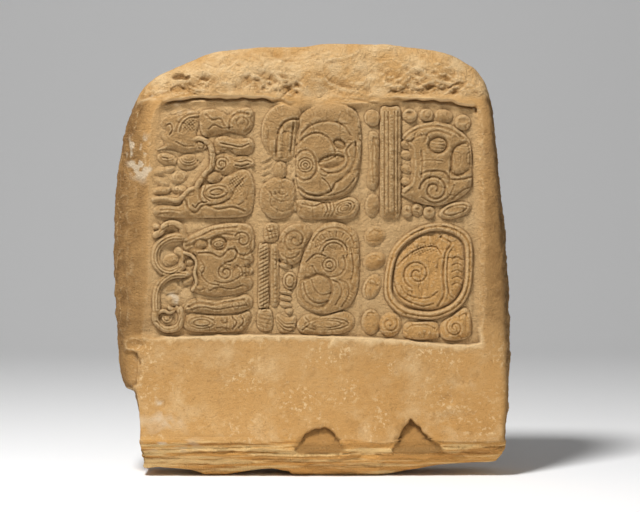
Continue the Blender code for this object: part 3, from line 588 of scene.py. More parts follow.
# Lower middle block: a cabled bar and a plain one, a curled lobe and a great rounded form, over a hook and
# a low band. The cable is a run of slanting cuts, close together.
b = Block(1, 0, 1, 3)
b.ground([(0, 6), (0, 92), (6, 112), (38, 113), (80, 114), (100, 104), (103, 60), (99, 6), (60, 0),
          (24, 2)], 0.2)
b.plate([(1, 90), (6, 92), (11, 89), (11, 60), (11, 30), (6, 27.5), (0.5, 30), (0.5, 60)])
b.plate([(7, 96), (7, 110), (14, 113.5), (21, 110), (20.5, 97), (14, 93.5)], MIDDLE)
b.plate([(0, 8), (0, 24), (6, 27), (14, 24.6), (15, 8), (8, 4)])
b.plate([(13, 88), (16, 92), (21, 88), (21.5, 60), (21.5, 34), (17, 29), (13, 33), (13, 60)], MIDDLE)
b.plate([(21.5, 98), (28, 108), (39, 112.5), (51, 109), (54, 100), (46, 88), (44, 77), (35, 71),
         (24, 73), (21, 85)])
b.plate([(57, 104), (67, 112), (79, 114), (93, 108), (101, 97), (102, 65), (100, 45), (92, 30),
         (76, 23), (62, 22), (48, 27), (40, 36), (39.5, 53), (44, 76), (51, 92)])
b.hatch([(1, 89), (11, 89), (11, 30), (1, 30)], 3.4, 118, 1.3)
b.groove([(5.8, 90), (5.8, 60), (5.8, 29)], 1.1, 0.5)
b.beads([(17.5, 88), (17.5, 60), (17.5, 34)], 1.6, 4.2, 0.6)
b.hatch([(8, 97), (8, 110), (20, 110), (20, 97)], 3.6, 15, 0.7, True)
b.hatch([(1, 8), (1, 24), (13, 24), (14, 8)], 4, 80, 0.6)
for v in (70, 44, 37.5, 31):
    b.lobe(28, v, 6.4, 3, -12, TOP)
b.lobe(32, 55, 7, 9, 0, TOP)
b.groove(oval(32, 55, 4.4, 6.2), 1.5, 1.1, True)
b.lobe(31.5, 24.5, 4, 3.6, 0, TOP)
b.coil(38, 96, 12, 2.4, 250, -520, 1.9, 1.4)
b.groove([(24, 82), (30, 78), (38, 79), (42, 84)], 1.6, 1.0)
b.pit(23, 75, 3, 1.8, 2.4)
b.pit(33, 69, 4, 1.6, 2.2)
b.plate([(18, 17), (21, 22), (30, 18), (38, 20), (38, 9), (30, 3), (22, 4)], MIDDLE)
for shift in (0.0, 3.2, 6.4):
    b.groove([(20, 19 - shift), (27, 12 - shift), (36, 12 - shift * 1.2)], 1.4, 0.9)
b.plate([(39, 9.4), (43, 17), (51, 22), (67, 19.5), (86, 24.5), (96.5, 18), (95.5, 8), (83, 1.4),
         (59, 0.6), (45, 2)])
for size in (1.0, 0.66):
    b.groove(oval(69, 11.5, 22 * size, 5.6 * size, 2), 1.5, 1.0, True)
b.groove([(45, 6), (52, 12), (48, 18)], 1.5)
b.groove([(55, 95), (64, 105), (78, 108.5), (91, 103), (97, 92)], 1.6, 1.0)
for angle in (150, 128, 106, 84, 62, 40):
    c, s = math.cos(math.radians(angle)), math.sin(math.radians(angle))
    b.groove([(77 + 15 * c, 88 + 12 * s), (77 + 19.5 * c, 88 + 16.5 * s)], 1.4, 0.9)
for size in (14, 10.5):
    b.groove(arc(76, 84, size, size * 0.9, 12, 170), 1.7, 1.1, True)
b.groove([(49, 74), (58, 82), (68, 80)], 1.7, 1.2)
for size in (7, 3.6):
    b.groove(oval(72, 71, size, size), 1.4, 1.0, True)
b.groove([(55, 70), (60, 62), (70, 59), (82, 61), (88, 70), (86, 80)], 1.7, 1.1)
b.plate([(42, 54), (52, 60), (62, 63), (72, 58), (76, 46), (71, 33), (62, 27), (50, 30),
         (42, 40)], HIGHEST, 2.2)
b.groove([(46, 53), (49, 41), (58, 33), (71, 35)], 1.7, 1.2)
b.groove([(54, 56), (57, 47), (64, 41), (74, 43)], 1.5, 1.0)
b.groove([(75, 56), (82, 52), (84, 42), (78, 31)], 1.8, 1.2)
b.groove([(82, 56), (90, 52), (91, 40), (84, 29)], 1.6, 1.0)
b.hatch([(84, 28), (93, 34), (98, 44), (93, 46), (86, 36)], 2.8, 60, 0.8)
b.groove([(94, 86), (96, 66), (93, 54)], 1.5, 0.9)
b.hatch([(56, 86), (60, 96), (70, 100), (62, 88)], 2.8, 30, 0.6, True)

# Lower right block: three lobes beside a wide ring that frames two forms, over a row of four lobes.
# The ring is two rounds with a groove between, and what it frames is cut lower than it.
b = Block(2, 0, 3, 11)
b.ground([(2, 8), (2, 34), (4, 60), (2, 90), (6, 116), (20, 118), (60, 123), (100, 120), (113, 100),
          (112, 50), (111, 10), (100, 3), (20, 5)], 0.2)
for u, v, wide_half, tall_half, tilt in ((13.5, 108, 11, 9.6, 35), (13, 83, 12, 8.8, 25),
                                          (10.5, 57, 8.6, 13.4, -25)):
    b.lobe(u, v, wide_half, tall_half, tilt, MIDDLE)
    b.groove(arc(u, v, wide_half * 0.55, tall_half * 0.6, 30, 150), 1.4, 0.7, True)
wheel = smooth([(73, 121), (95, 118), (110, 105), (112, 78), (109, 52), (97, 34), (76, 24.5),
                (57, 24.5), (38, 29.5), (25, 43), (23, 60), (26, 81), (33, 98), (50, 113)], True)
hub = np.array([68, 73])
b.form(wheel, HIGHEST, 0, 0)
b.form(hub + (wheel - hub) * 0.84, LOWER, 0, 0)
b.groove(hub + (np.vstack([wheel, wheel[:1]]) - hub) * 0.925, 1.9, 1.3, True)
b.form(hub + (wheel - hub) * 0.79, TOP * 0.94, 0, 0.4)
b.groove([(80, 107), (90, 100), (84, 90), (82, 68), (83, 50), (77, 38)], 2.2, 1.6)
b.groove([(92, 97), (87, 88), (86, 66), (88, 50), (92, 46)], 1.8, 1.2)
for v in (86, 79.5, 73, 66.5, 60):
    b.groove([(91, v - 1), (96, v + 1), (101, v - 1.5)], 1.5, 0.9)
b.groove([(31, 84), (38, 94), (48, 104)], 1.8, 1.1)
b.groove([(36, 78), (46, 88), (60, 96), (74, 97), (80, 90)], 1.8, 1.2)
b.coil(56, 70, 15, 2.6, 250, -560, 1.9, 1.3)
b.hatch([(52, 86), (48, 92), (60, 100), (74, 101), (78, 92), (66, 90)], 2.6, 25, 0.7, True)
b.groove([(33, 62), (37, 50), (48, 42), (62, 38), (72, 40)], 1.9, 1.3)
b.groove([(40, 58), (44, 51), (54, 46), (68, 46), (76, 52)], 1.6, 1.0)
b.beads([(72, 84), (75, 76), (74, 66), (70, 57)], 1.7, 4.2, 0.7)
b.lobe(9.5, 21.5, 9.6, 13)
b.groove([(5, 26), (8, 31), (13, 30)], 1.5, 0.9)
b.lobe(29, 19, 11.4, 12.4, -10)
b.coil(28.5, 19.5, 8, 1.6, 40, -470, 1.9, 1.4)
b.plate([(42, 14), (45, 20.6), (58, 22), (74, 22), (78.5, 15), (77, 5.6), (58, 3.4), (44, 6)])
b.groove([(46, 15), (52, 18.4), (66, 18.6), (74, 15)], 1.4, 0.9)
b.beads([(56, 10), (62, 12.5), (68, 10.5)], 1.8, 5, 0.8)
b.plate([(79, 9), (80, 20), (90, 27), (104, 36), (110, 27), (110, 9), (100, 3.2), (85, 3.2)])
b.coil(94, 16, 9.4, 1.8, 120, 470, 1.8, 1.3)
b.groove([(98, 27), (104, 30), (107, 25)], 1.5, 0.9)

# Wear and breakage: the head broke off in scoops, the foot shows the stone's own layers, and pits and a
# fine unevenness cover the rest. All of it is taken off the slab, so nothing stands out past the first
# outline.

MIX = (73856093, 19349663, 83492791, 2654435761, 1274126177)  # the factors that scatter mixes with
TRIANGLES = 190000
face_count = rows * columns


def scatter(i, j, k, seed):
    """A number from 0 to 1 for each lattice point: its place mixed by large odd factors, high bits kept."""
    h = i * MIX[0] ^ j * MIX[1] ^ k * MIX[2] ^ seed * MIX[3]
    h = (h ^ (h >> 13)) * MIX[4] & 0x7FFFFFFF
    return ((h ^ (h >> 15)) & 0xFFFF) / 65535.0


def noise(p, size, seed):
    """Smooth value noise from -1 to 1: lattice numbers blended along each axis by an S-curve."""
    q = p / size
    cell = np.floor(q).astype(np.int64)
    f = q - cell
    f = f * f * (3 - 2 * f)
    total = 0.0
    for i in (0, 1):
        for j in (0, 1):
            for k in (0, 1):
                weight = np.abs(1 - i - f[:, 0]) * np.abs(1 - j - f[:, 1]) * np.abs(1 - k - f[:, 2])
                total = total + weight * scatter(cell[:, 0] + i, cell[:, 1] + j, cell[:, 2] + k, seed)
    return total * 2 - 1


def rough(p, size, octaves, seed):
    """Noise added at halving sizes and halving strengths."""
    return sum(noise(p, size / 2**n, seed + n) / 2**n for n in range(octaves))


def scoops(p, size, seed):
    """Bowls that meet in sharp ridges: the squared distance to the nearest shifted lattice point."""
    q = p / size
    cell = np.floor(q).astype(np.int64)
    best = np.full(len(q), 9.0)
    for i in (-1, 0, 1):
        for j in (-1, 0, 1):
            for k in (-1, 0, 1):
                c = cell + [i, j, k]
                jitter = np.column_stack([scatter(c[:, 0], c[:, 1], c[:, 2], seed + n) for n in range(3)])
                best = np.minimum(best, ((c + jitter - q) ** 2).sum(1))
    return best


def blurred(values, reach):
    """Mean over a square around each point, from running sums, on the face's grid and the rings' grid."""
    parts = []
    edge = (reach + 1, reach + 1)
    for part, across_count in ((values[:face_count], columns), (values[face_count:-1], len(rim))):
        grid = part.reshape(-1, across_count)
        if len(parts):
            grid = np.pad(np.pad(grid, ((0, 0), edge), mode="wrap"), (edge, (0, 0)), mode="edge")
        else:
            grid = np.pad(grid, reach + 1, mode="edge")
        total = grid.cumsum(0).cumsum(1)
        size = 2 * reach + 1
        box = total[size:, size:] - total[:-size, size:] - total[size:, :-size] + total[:-size, :-size]
        parts.append((box[: len(part) // across_count, :across_count] / size**2).ravel())
        if len(values) == face_count:
            return parts[0]
    return np.concatenate(parts + [values[-1:]])


def crags(p, size, octaves, seed):
    """Sharp creases between swellings: the noise's bare size, at halving sizes and falling strengths."""
    return sum(np.abs(noise(p, size / 2**n, seed + n)) / 1.8**n for n in range(octaves))


place = points.copy()
across, deep, up = place.T
faced = place[:face_count]
level = place * [1, 1, 0]

# How far the field's floor lies below the face: its edge is steep at the head, and a worn slope elsewhere
field_edge = np.array(FIELD_EDGE) * [FIELD_WIDE / 100, FIELD_TALL / 100]
field_line = smooth(np.array([FIELD_LEFT, FIELD_FOOT]) + field_edge, True, 3)
in_field = depth_inside(flat_x, flat_z, field_line)
broken_head = np.exp(-(((flat_x - 228) / 58) ** 6)) * eased(340, 376, flat_z)
at_left = (1 - eased(44, 60, flat_x)) * eased(135, 150, flat_z)
at_right = eased(358, 366, flat_x) * eased(135, 150, flat_z)
under_head = eased(362, 370, flat_z) * eased(50, 60, flat_x) * (1 - broken_head)
edge_start = -0.7 - 12 * at_left - 3 * at_right - 5 * broken_head
edge_end = 1.8 - 1.2 * under_head + 3 * at_left + 1.5 * at_right + 13 * broken_head
ragged = 1.6 * noise(faced, 9, 51) * eased(350, 372, flat_z) + 0.7 * noise(faced, 6, 52)
ragged += 1.3 * at_right * rough(faced, 5, 3, 53) + 1.5 * at_left * rough(faced, 9, 3, 54)
shallow = 0.4 * (1 - eased(1, 8, in_field)) * eased(150, 170, flat_z)
sunk = eased(edge_start, edge_end, in_field + ragged) * (1 - shallow)
# What is left standing is uneven, and thin worn lines wander over it
wander = np.exp(-((noise(faced, 9, 201) / 0.14) ** 2)) * eased(-0.4, 0.2, noise(faced, 24, 202))
wander += np.exp(-((noise(faced, 6, 203) / 0.16) ** 2)) * eased(-0.1, 0.4, noise(faced, 19, 204))
modelled = rise + eased(1.2, 3.2, rise) * (0.9 * rough(faced, 10, 4, 66) - 0.8 * wander)
hollow = sunk * (SINK - modelled * eased(-1, 2, in_field))
# Under the head the field's edge is cut in deep, and elsewhere the carving is rubbed and gritty
undercut = 3.4 + 1.4 * noise(faced, 22, 91)
hollow += under_head * undercut * np.exp(-(((in_field + ragged - 0.6) / 1.8) ** 2))
rubbed = eased(0.1, 0.9, noise(faced, 26, 61)) * 0.5
hollow = hollow * (1 - rubbed) + blurred(hollow, 2) * rubbed
grit = rough(faced, 5, 3, 63)
hollow += (0.3 + 0.25 * rubbed) * (1 + grit) * eased(0, 4, in_field)

# Where the head, the foot's beds and the sides begin, and a fine unevenness over all
head = eased(378, 386, up + 2.5 * noise(place, 14, 2))
head[:face_count] *= 1 - eased(-1.5, 1.0, in_field + ragged)
head[:face_count] *= 1 - 0.6 * under_head * np.exp(-((in_field / 5) ** 2))
foot = 1 - eased(35, 38, up + 2.6 * noise(level, 30, 5) + 1.2 * noise(level, 9, 6))
flank = eased(0, 9, deep) * (1 - head) * (1 - foot)
taken = 0.3 * (1 + rough(place, 11, 3, 31)) + 0.5 * (1 + rough(place, 60, 2, 41))
taken *= 0.35 + 0.65 * eased(0, 8, deep)

# The head: broad scoops and slanting breaks, with crushed patches by place as across, up and half-sizes
busy = head > 0.01
rock = place[busy]
front = 0.3 + 0.7 * (1 - eased(6, 26, deep[busy]))
torn = np.full(len(rock), 0.1)
for x, z, wide_half, tall_half in (
    (80, 390, 30, 10), (92, 396, 14, 8), (160, 396, 30, 12), (190, 392, 16, 10), (318, 399, 42, 14),
    (300, 388, 20, 7),
):
    torn += np.exp(-(((rock[:, 0] - x) / wide_half) ** 2) - ((rock[:, 2] - z) / tall_half) ** 2)
torn = np.clip(torn * (0.85 + 0.8 * noise(rock, 14, 301)), 0.15, 1)
tilted = rock @ np.array([[0.8, 0, 0.6], [0, 1, 0], [-0.9, 0, 1.2]])
broken = 1.8 + 2.6 * rough(rock, 46, 2, 71) + 1.6 * crags(tilted, 44, 2, 3)
broken -= 3.2 * np.clip(scoops(rock, 40, 7), 0, 0.8)
broken += torn * (2.2 * eased(0.1, 0.25, noise(tilted, 15, 77)) + 3.6 * crags(tilted, 12, 4, 78))
broken += 1.8 * crags(tilted, 18, 5, 79) + 1.4 * eased(0.15, 0.25, noise(tilted, 30, 80))
taken[busy] += head[busy] * front * np.clip(broken, 0, 11)
scuffed = np.zeros(len(points))
scuffed[busy] = torn * head[busy]

# The worn margins of the face, the sides and, more quietly, the back
by_left = np.maximum(
    (1 - eased(26, 46, across)) * eased(128, 150, up),
    0.3 * (1 - eased(22, 31, across)) * eased(84, 92, up),
)
by_right = eased(364, 384, across) * eased(110, 190, up)
behind = eased(DEEP - BACK_ROUND, DEEP - 3, deep)
margins = np.maximum(by_left * (0.5 + 0.5 * eased(270, 320, up)), 0.35 * by_right) * (1 - head)
worn_side = np.maximum(flank * (1 - 0.75 * behind), margins)
busy = worn_side > 0.01
chipped = np.maximum(0, 1.0 - 1.5 * scoops(place[busy], 22, 11)) + 1.9 * crags(place[busy], 14, 4, 13)
chipped += 0.8 * eased(0.0, 0.2, noise(place[busy], 11, 14))
taken[busy] += worn_side[busy] * chipped
taken += behind * (0.9 * rough(place, 34, 3, 19) + 0.9)

# The foot's beds: each line wanders and comes and goes, and the stone steps in or out below it
for height, step, seed in (
    (35, 0.9, 1), (32, 1.3, 2), (29, -1.5, 3), (26, 2.0, 4), (23, -1.4, 5), (20, 2.1, 6), (16.5, -1.7, 7),
    (13, 2.2, 8), (9.5, -1.2, 9), (6.5, 2.0, 10),
):
    line = height + 2.0 * noise(level, 52, 80 + seed) + 1.0 * rough(level, 11, 3, 180 + seed)
    part = eased(-0.4, 0.0, noise(place * [1, 1, 0.5], 26, 90 + seed))
    taken += foot * step * part * (1 - eased(line - 0.4, line + 0.4, up))
taken += foot * 0.7 * crags(place * [0.3, 0.3, 1], 9, 3, 23)
taken *= 1 - 0.92 * eased(0.6, 1.0, -normals[:, 2])


def in_front(line, reach, share):
    """Which points lie in the line's box grown by reach, on the face or this share of its rolled edge."""
    low, high = line.min(0) - reach, line.max(0) + reach
    boxed = (across > low[0]) & (across < high[0]) & (up > low[1]) & (up < high[1])
    return boxed & (deep < FRONT_ROUND * share)


# Single breaks: across, up, half-width, half-height, depth, and 2 for a round one or less for a pointed one
DARK_FROM = 8  # breaks of this depth and over are dark inside
painted_break_shade = np.zeros(len(points))
for x, z, wide_half, tall_half, depth, power in (
    (345, 60, 16, 8, 1.6, 2), (338, 78, 9, 6, 1.4, 2), (350, 96, 8, 5, 1.2, 2), (237, 390, 54, 14, 2.6, 2),
    (67, 405, 8, 4.5, 9, 2), (75, 403, 6, 3.5, 8, 2), (78, 389, 5, 3.5, 5, 2), (289, 399, 8, 5, 5, 2),
    (305, 386, 16, 5, 3.5, 2), (24, 134, 10, 6, 3.5, 2), (52, 74, 6, 5, 1.2, 2),
    (128, 391, 28, 6, 3.0, 2), (95, 396, 12, 8, 3.0, 1.6), (170, 402, 20, 10, 2.6, 1.6),
):
    away = np.abs((across - x) / wide_half) ** power + np.abs((up - z) / tall_half) ** power
    bowl = depth * np.clip(1 - away + 0.16 * noise(place, 9, int(x)), 0, 1) ** 0.5
    taken = np.maximum(taken, bowl * (deep < FRONT_ROUND * 0.95))
    # Breaks this deep get painted shade inside, which the finish adds to the darkening of the crevices
    if depth >= DARK_FROM:
        painted_break_shade = np.maximum(painted_break_shade, eased(0, 0.5, bowl / depth) * (deep < FRONT_ROUND * 0.95))

# Flakes off the face: a round one and a pointed one above the beds, deepest at the top, and one off the
# left corner, each with its depth, how softly its edge goes down and how much the edge wanders
flaked = np.zeros(len(points))
for line, depth, soft, uneven in (
    ([(187, 24), (189, 36), (197, 46), (208, 51), (217, 51.5), (226, 44), (231, 34), (230, 24)],
     5.5, 1.8, 1.1),
    ([(284, 24), (288, 38), (295, 52), (301, 60), (307, 55), (315, 46), (325, 37), (332, 24)],
     7.5, 1.8, 1.3),
    ([(-8, 136), (6, 134), (14, 129), (22, 130), (28, 126), (31, 116), (28, 103), (25, 92), (14, 84),
      (-8, 80)], 4.4, 3.6, 2.4),
):
    flake = smooth(line, True, 3)
    low = flake.min(0) - 2
    near = in_front(flake, 2, 0.95)
    inside = depth_inside(across[near], up[near], flake) + uneven * noise(place[near], 5, 17)
    leaning = 0.3 + 0.7 * eased(min(low[1], 26), line[3][1] + 8, up[near])
    gone = depth * leaning * eased(-0.3, soft, inside) + 0.4 * noise(place[near], 8, 18)
    taken[near] = np.maximum(taken[near], gone)
    # How far each flake's floor is darkened in the finish: painted shade under its upper edge, with the
    # break's own browner tone
    flaked[near] = np.maximum(flaked[near], eased(-0.5, 0.8, inside) * (0.3 + 0.7 * (low[0] > 50)))

# Fine cracks and scratches, each a line with its depth
for line, depth in (
    ([(259.5, 400), (250, 391), (239, 382), (253, 378), (267, 375.5)], 0.9),
    ([(196, 404), (182, 391), (170, 380)], 0.7), ([(30, 43), (60, 42.4), (96, 42), (150, 42.6)], 0.4),
    ([(118, 92), (142, 78), (168, 60)], 0.25), ([(232, 118), (262, 96), (290, 88)], 0.25),
    ([(196, 100), (214, 92), (236, 90)], 0.25), ([(60, 96), (52, 66)], 0.3),
):
    line = smooth(line)
    near = in_front(line, 3, 0.8)
    taken[near] += depth * np.exp(-((along_line(across[near], up[near], line)[0] / 0.9) ** 2))

# The hollowed face, which runs out over the rolled edge, and a foot that stays flat where the stone stands
moved = place - normals * taken[:, None]
moved[:face_count, 1] = hollow + taken[:face_count]
rolled = face_count + np.arange(len(rolls) * len(rim))
moved[rolled, 1] += (np.cos(rolls)[:, None] ** 1.5 * hollow[rim_index]).ravel()
flat_foot = (up < 0.01) & (deep > FRONT_ROUND - 0.5) & (deep < DEEP - BACK_ROUND + 0.5)
moved[flat_foot, 2] = 0
moved = np.clip(moved, 0, [WIDE, DEEP, TALL])

# Chalky spots: across, up, half-width, half-height and strength
chalk = np.zeros(len(points))
for x, z, wide_half, tall_half, share in (
    (31, 320, 11, 15, 3.4), (25, 332, 8, 10, 1.4), (70, 178, 7, 5, 1), (63, 184, 5, 3, 1),
    (49, 73, 6, 4, 1.2), (50, 58, 26, 10, 0.8), (60, 34, 26, 9, 1), (352, 90, 16, 16, 0.3),
    (45, 385, 12, 8, 0.5), (70, 372, 14, 9, 0.4),
):
    chalk += share * np.exp(-((across - x) / wide_half) ** 2 - ((up - z) / tall_half) ** 2) * (deep < 30)
chalk *= eased(-0.1, 0.5, noise(place, 5, 95) + 0.6 * noise(place, 13, 96))

# What the finish needs to know at each point: how deep it lies below its surroundings, where painted shade
# and highlights go, and what wore it
lost = taken.copy()
lost[:face_count] = moved[:face_count, 1]
# A painted highlight along the field's foot, where its lower edge faces up to the light
field_foot_highlight = np.zeros(len(points))
low_edge = np.exp(-(((in_field + 0.2) / 1.3) ** 2)) * (1 - eased(146, 156, flat_z))
field_foot_highlight[:face_count] = low_edge * eased(44, 60, flat_x)
# The left and right margins are painted darker: painted shade where the face rolls away from the light, and
# dirt
margin_shade_and_dirt = np.clip(by_left + by_right, 0, 1) * (1 - head)
raised = np.zeros(len(points))
raised[:face_count] = sunk * eased(1.0, 3.0, rise)
mesh.vertices.foreach_set("co", ((moved + [LOW[0], LOW[1], 0]) / 1000).astype(np.float32).ravel())
for name, values in (
    ("crevice", (lost - blurred(lost, 2)) * (1 - behind) + painted_break_shade),
    ("recess", (lost - blurred(lost, 9)) * (1 - behind)),
    ("head", head), ("foot", foot), ("flank", flank), ("chalk", chalk), ("field_foot_highlight", field_foot_highlight),
    ("raised", blurred(raised, 2)), ("margin_shade_and_dirt", margin_shade_and_dirt), ("flaked", flaked), ("scuffed", scuffed),
    ("field", blurred(np.pad(sunk, (0, len(points) - face_count)), 5)),
):
    mesh.attributes.new(name, "FLOAT", "POINT").data.foreach_set("value", values.astype(np.float32))

# The stone's own object: thinned to its share of triangles, then held inside the slab's box
stone = bpy.data.objects.new("carved_stone", mesh)
bpy.context.scene.collection.objects.link(stone)
thin = stone.modifiers.new("thin", "DECIMATE")
thin.ratio = TRIANGLES / (2 * len(quads) + len(fan))
graph = bpy.context.evaluated_depsgraph_get()
thinned = bpy.data.meshes.new_from_object(stone.evaluated_get(graph))
stone.modifiers.clear()
stone.data = thinned
bpy.data.meshes.remove(mesh)
final = np.empty(len(thinned.vertices) * 3, np.float32)
thinned.vertices.foreach_get("co", final)
final = np.clip(final.reshape(-1, 3), LOW / 1000, HIGH / 1000)
thinned.vertices.foreach_set("co", final.ravel())
thinned.update()
thinned.shade_smooth()
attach(stone, "root")
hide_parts("carved_panel")

# The finish: golden limestone, unpainted and unpolished, with a chalky bloom where it is worn, straw and
# rusty stripes in the beds of the foot, brown dirt with painted shade in the cuts and hollows, and painted
# highlights on ridges and the field's foot. Heights and distances here are metres.


class Value:
    """A shader socket that can be added, multiplied and so on."""

    tree = None

    def __init__(self, socket):
        self.socket = socket

    @classmethod
    def node(cls, kind, settings=None, output=0, **inputs):
        """One output of a new node. Its inputs go by name, or by number as i0, i1 and so on."""
        node = cls.tree.nodes.new(kind)
        for key, value in (settings or {}).items():
            setattr(node, key, value)
        for key, value in inputs.items():
            socket = node.inputs[int(key[1:]) if key[1:].isdigit() else key]
            if isinstance(value, Value):
                cls.tree.links.new(value.socket, socket)
            else:
                socket.default_value = value
        return cls(node.outputs[output])

    def math(self, operation, other, clamp=False):
        """A Math node on this value and another."""
        return Value.node("ShaderNodeMath", {"operation": operation, "use_clamp": clamp}, i0=self, i1=other)

    def __add__(self, other):
        return self.math("ADD", other)

    def __mul__(self, other):
        return self.math("MULTIPLY", other)

    def __sub__(self, other):
        return self.math("SUBTRACT", other)

    def __rsub__(self, other):
        return self * -1.0 + other

    def between(self, low, high):
        """0 at low, 1 at high, straight between and held beyond."""
        return ((self - low) * (1 / (high - low))).math("ADD", 0.0, True)


def blend_colours(share, first, second):
    """Share 0 gives the first colour, 1 the second."""
    return Value.node("ShaderNodeMix", {"data_type": "RGBA"}, 2, i0=share, i6=first, i7=second)


def linear(red, green, blue):
    """A colour seen on screen, 0 to 255, as the light it stands for: a power curve of each share."""
    return (*(((c / 255 + 0.055) / 1.055) ** 2.4 for c in (red, green, blue)), 1)


GOLDEN = linear(209, 163, 102)
AMBER = linear(194, 145, 82)
CREAM = linear(238, 208, 160)
GREYISH = linear(173, 137, 90)
CHALK = linear(232, 216, 188)
BROWN = linear(114, 78, 38)
# DARK is the brown of painted shade and dirt in the cuts
DARK = linear(88, 58, 26)
LICHEN = linear(96, 88, 62)
RUSTY = linear(160, 104, 46)
STRAW = linear(238, 176, 96)
STRAW_PALE = linear(254, 216, 150)

material = bpy.data.materials.new("limestone")
material.use_nodes = True
Value.tree = material.node_tree
shader = material.node_tree.nodes["Principled BSDF"]
coordinates = Value.node("ShaderNodeTexCoord", output=3)


def mottle(scale, detail=4.0, roughness=0.55, stretch=None):
    """Cloudy noise; a stretch draws it out along the beds."""
    place = coordinates
    if stretch:
        place = Value.node("ShaderNodeMapping", None, 0, Vector=coordinates, Scale=stretch)
    sizes = {"Scale": scale, "Detail": detail, "Roughness": roughness}
    return Value.node("ShaderNodeTexNoise", None, 0, Vector=place, **sizes)


def kept(name):
    """A number stored on the stone's points."""
    return Value.node("ShaderNodeAttribute", {"attribute_name": name}, 2)


crevice, recess, worn, beds = kept("crevice"), kept("recess"), kept("head"), kept("foot")
sunken, flanks, bloom, tops = kept("field"), kept("flank"), kept("chalk"), kept("raised")
edge, margins_shade_and_dirt, flake_shade_and_tone, scars = kept("field_foot_highlight"), kept("margin_shade_and_dirt"), kept("flaked"), kept("scuffed")
above_foot = Value.node("ShaderNodeSeparateXYZ", None, 2, Vector=coordinates)
rightward = Value.node("ShaderNodeSeparateXYZ", None, 0, Vector=coordinates)
outside = 1 - sunken
plain = outside * (1 - above_foot.between(0.12, 0.17)) * (1 - margins_shade_and_dirt) * (1 - flanks)
broad, patches, grain, dirt = mottle(9, 5), mottle(34, 6, 0.62), mottle(1100, 3), mottle(80, 6, 0.7)
flakes, clusters, clouds = mottle(280, 4, 0.6), mottle(26, 3), mottle(17, 5, 0.6)
low_right = rightward.between(0.02, 0.08) * (1 - above_foot.between(0.235, 0.265))
growth = flanks * rightward.between(0.186, 0.198) * above_foot.between(0.12, 0.2)

# Each layer's share over what lies below it, and its colour
colour = GOLDEN
for share, tint in (
    (broad.between(0.38, 0.62) * 0.8, AMBER),
    (patches.between(0.5, 0.72) * 0.3, CREAM),
    (above_foot.between(0.045, 0.13) * (1 - worn) * 0.45, GREYISH),
    (worn * (patches.between(0.38, 0.65) * 0.6 + 0.1), CREAM),
    (flanks * (1 - worn) * (dirt.between(0.35, 0.7) * 0.5 + 0.15), BROWN),
    (tops * (broad.between(0.3, 0.6) * 0.35 + 0.5) * (1 - low_right * 0.7), GREYISH),
    (tops * low_right * 0.3, STRAW),
    # Painted shade and dirt on the left and right margins
    (margins_shade_and_dirt * (dirt.between(0.35, 0.65) * 0.3 + patches.between(0.4, 0.6) * 0.25 + 0.1), BROWN),
    (plain * (1 - clouds).between(0.48, 0.62) * 0.5, AMBER),
    (plain * clouds.between(0.5, 0.64) * 0.22, CREAM),
    (scars * dirt.between(0.35, 0.6) * 0.6, AMBER),
    (scars * dirt.between(0.45, 0.7) * 0.3, BROWN),
    (sunken * (1 - tops) * 0.3, CREAM),
    (flakes.between(0.55, 0.63) * clusters.between(0.45, 0.64) * plain * 0.65, CREAM),
    ((1 - flakes).between(0.6, 0.7) * plain * 0.3, BROWN),
    (dirt.between(0.56, 0.74) * (1 - beds * 0.7) * 0.3, BROWN),
    (beds * 0.8, STRAW),
    (beds * mottle(75, 5, 0.6, (0.12, 0.12, 3)).between(0.45, 0.6) * 0.45, AMBER),
    (beds * mottle(70, 5, 0.6, (0.12, 0.12, 3.2)).between(0.5, 0.62) * 0.5, RUSTY),
    (beds * mottle(80, 6, 0.65, (0.15, 0.15, 2.6)).between(0.5, 0.57) * 0.85, STRAW_PALE),
    # Flake floors: painted shade together with the break's browner tone
    (flake_shade_and_tone * 0.85, AMBER),
    (flake_shade_and_tone * 0.3, BROWN),
    # Painted shade with dirt: the head's hollows go amber and all recesses go brown, more so on raised
    # forms
    (worn * recess.between(0.3, 2.2) * 0.6, AMBER),
    (recess.between(0.3, 3.0) * (tops * 0.2 + 0.1), BROWN),
    # Painted shade, with some dirt: the cuts, crevices and deep breaks darkened
    (crevice.between(0.08, 1.1) * (1 - worn * 0.35) * (1 - beds * 0.8) * 0.76, DARK),
    # Painted highlight: the ridges and edges of the carving and of the beds lightened
    ((crevice * -1.0).between(0.06, 0.5) * (1 - plain) * (beds * 0.4 + 0.5), CREAM),
    # Painted highlight along the field's foot
    (edge * 0.6, CREAM),
    (bloom.between(0.1, 0.8) * 0.6, CHALK),
    (growth * mottle(130, 5, 0.7).between(0.47, 0.6) * 0.7, LICHEN),
    (grain.between(0.35, 0.7) * (1 - beds * 0.6) * 0.2, BROWN),
):
    colour = blend_colours(share, colour, tint)
material.node_tree.links.new(colour.socket, shader.inputs["Base Color"])
shader.inputs["Roughness"].default_value = 0.9
shader.inputs["Specular IOR Level"].default_value = 0.25
smooth_face = outside * (1 - worn) * (1 - beds) * (1 - flanks) * (1 - margins_shade_and_dirt)
height = (mottle(200, 5, 0.7) + mottle(460, 4, 0.65)) * (1 - smooth_face * 0.72)
bump = Value.node("ShaderNodeBump", None, 0, Strength=1.0, Distance=0.0034, Height=height)
material.node_tree.links.new(bump.socket, shader.inputs["Normal"])
stone.data.materials.clear()
stone.data.materials.append(material)

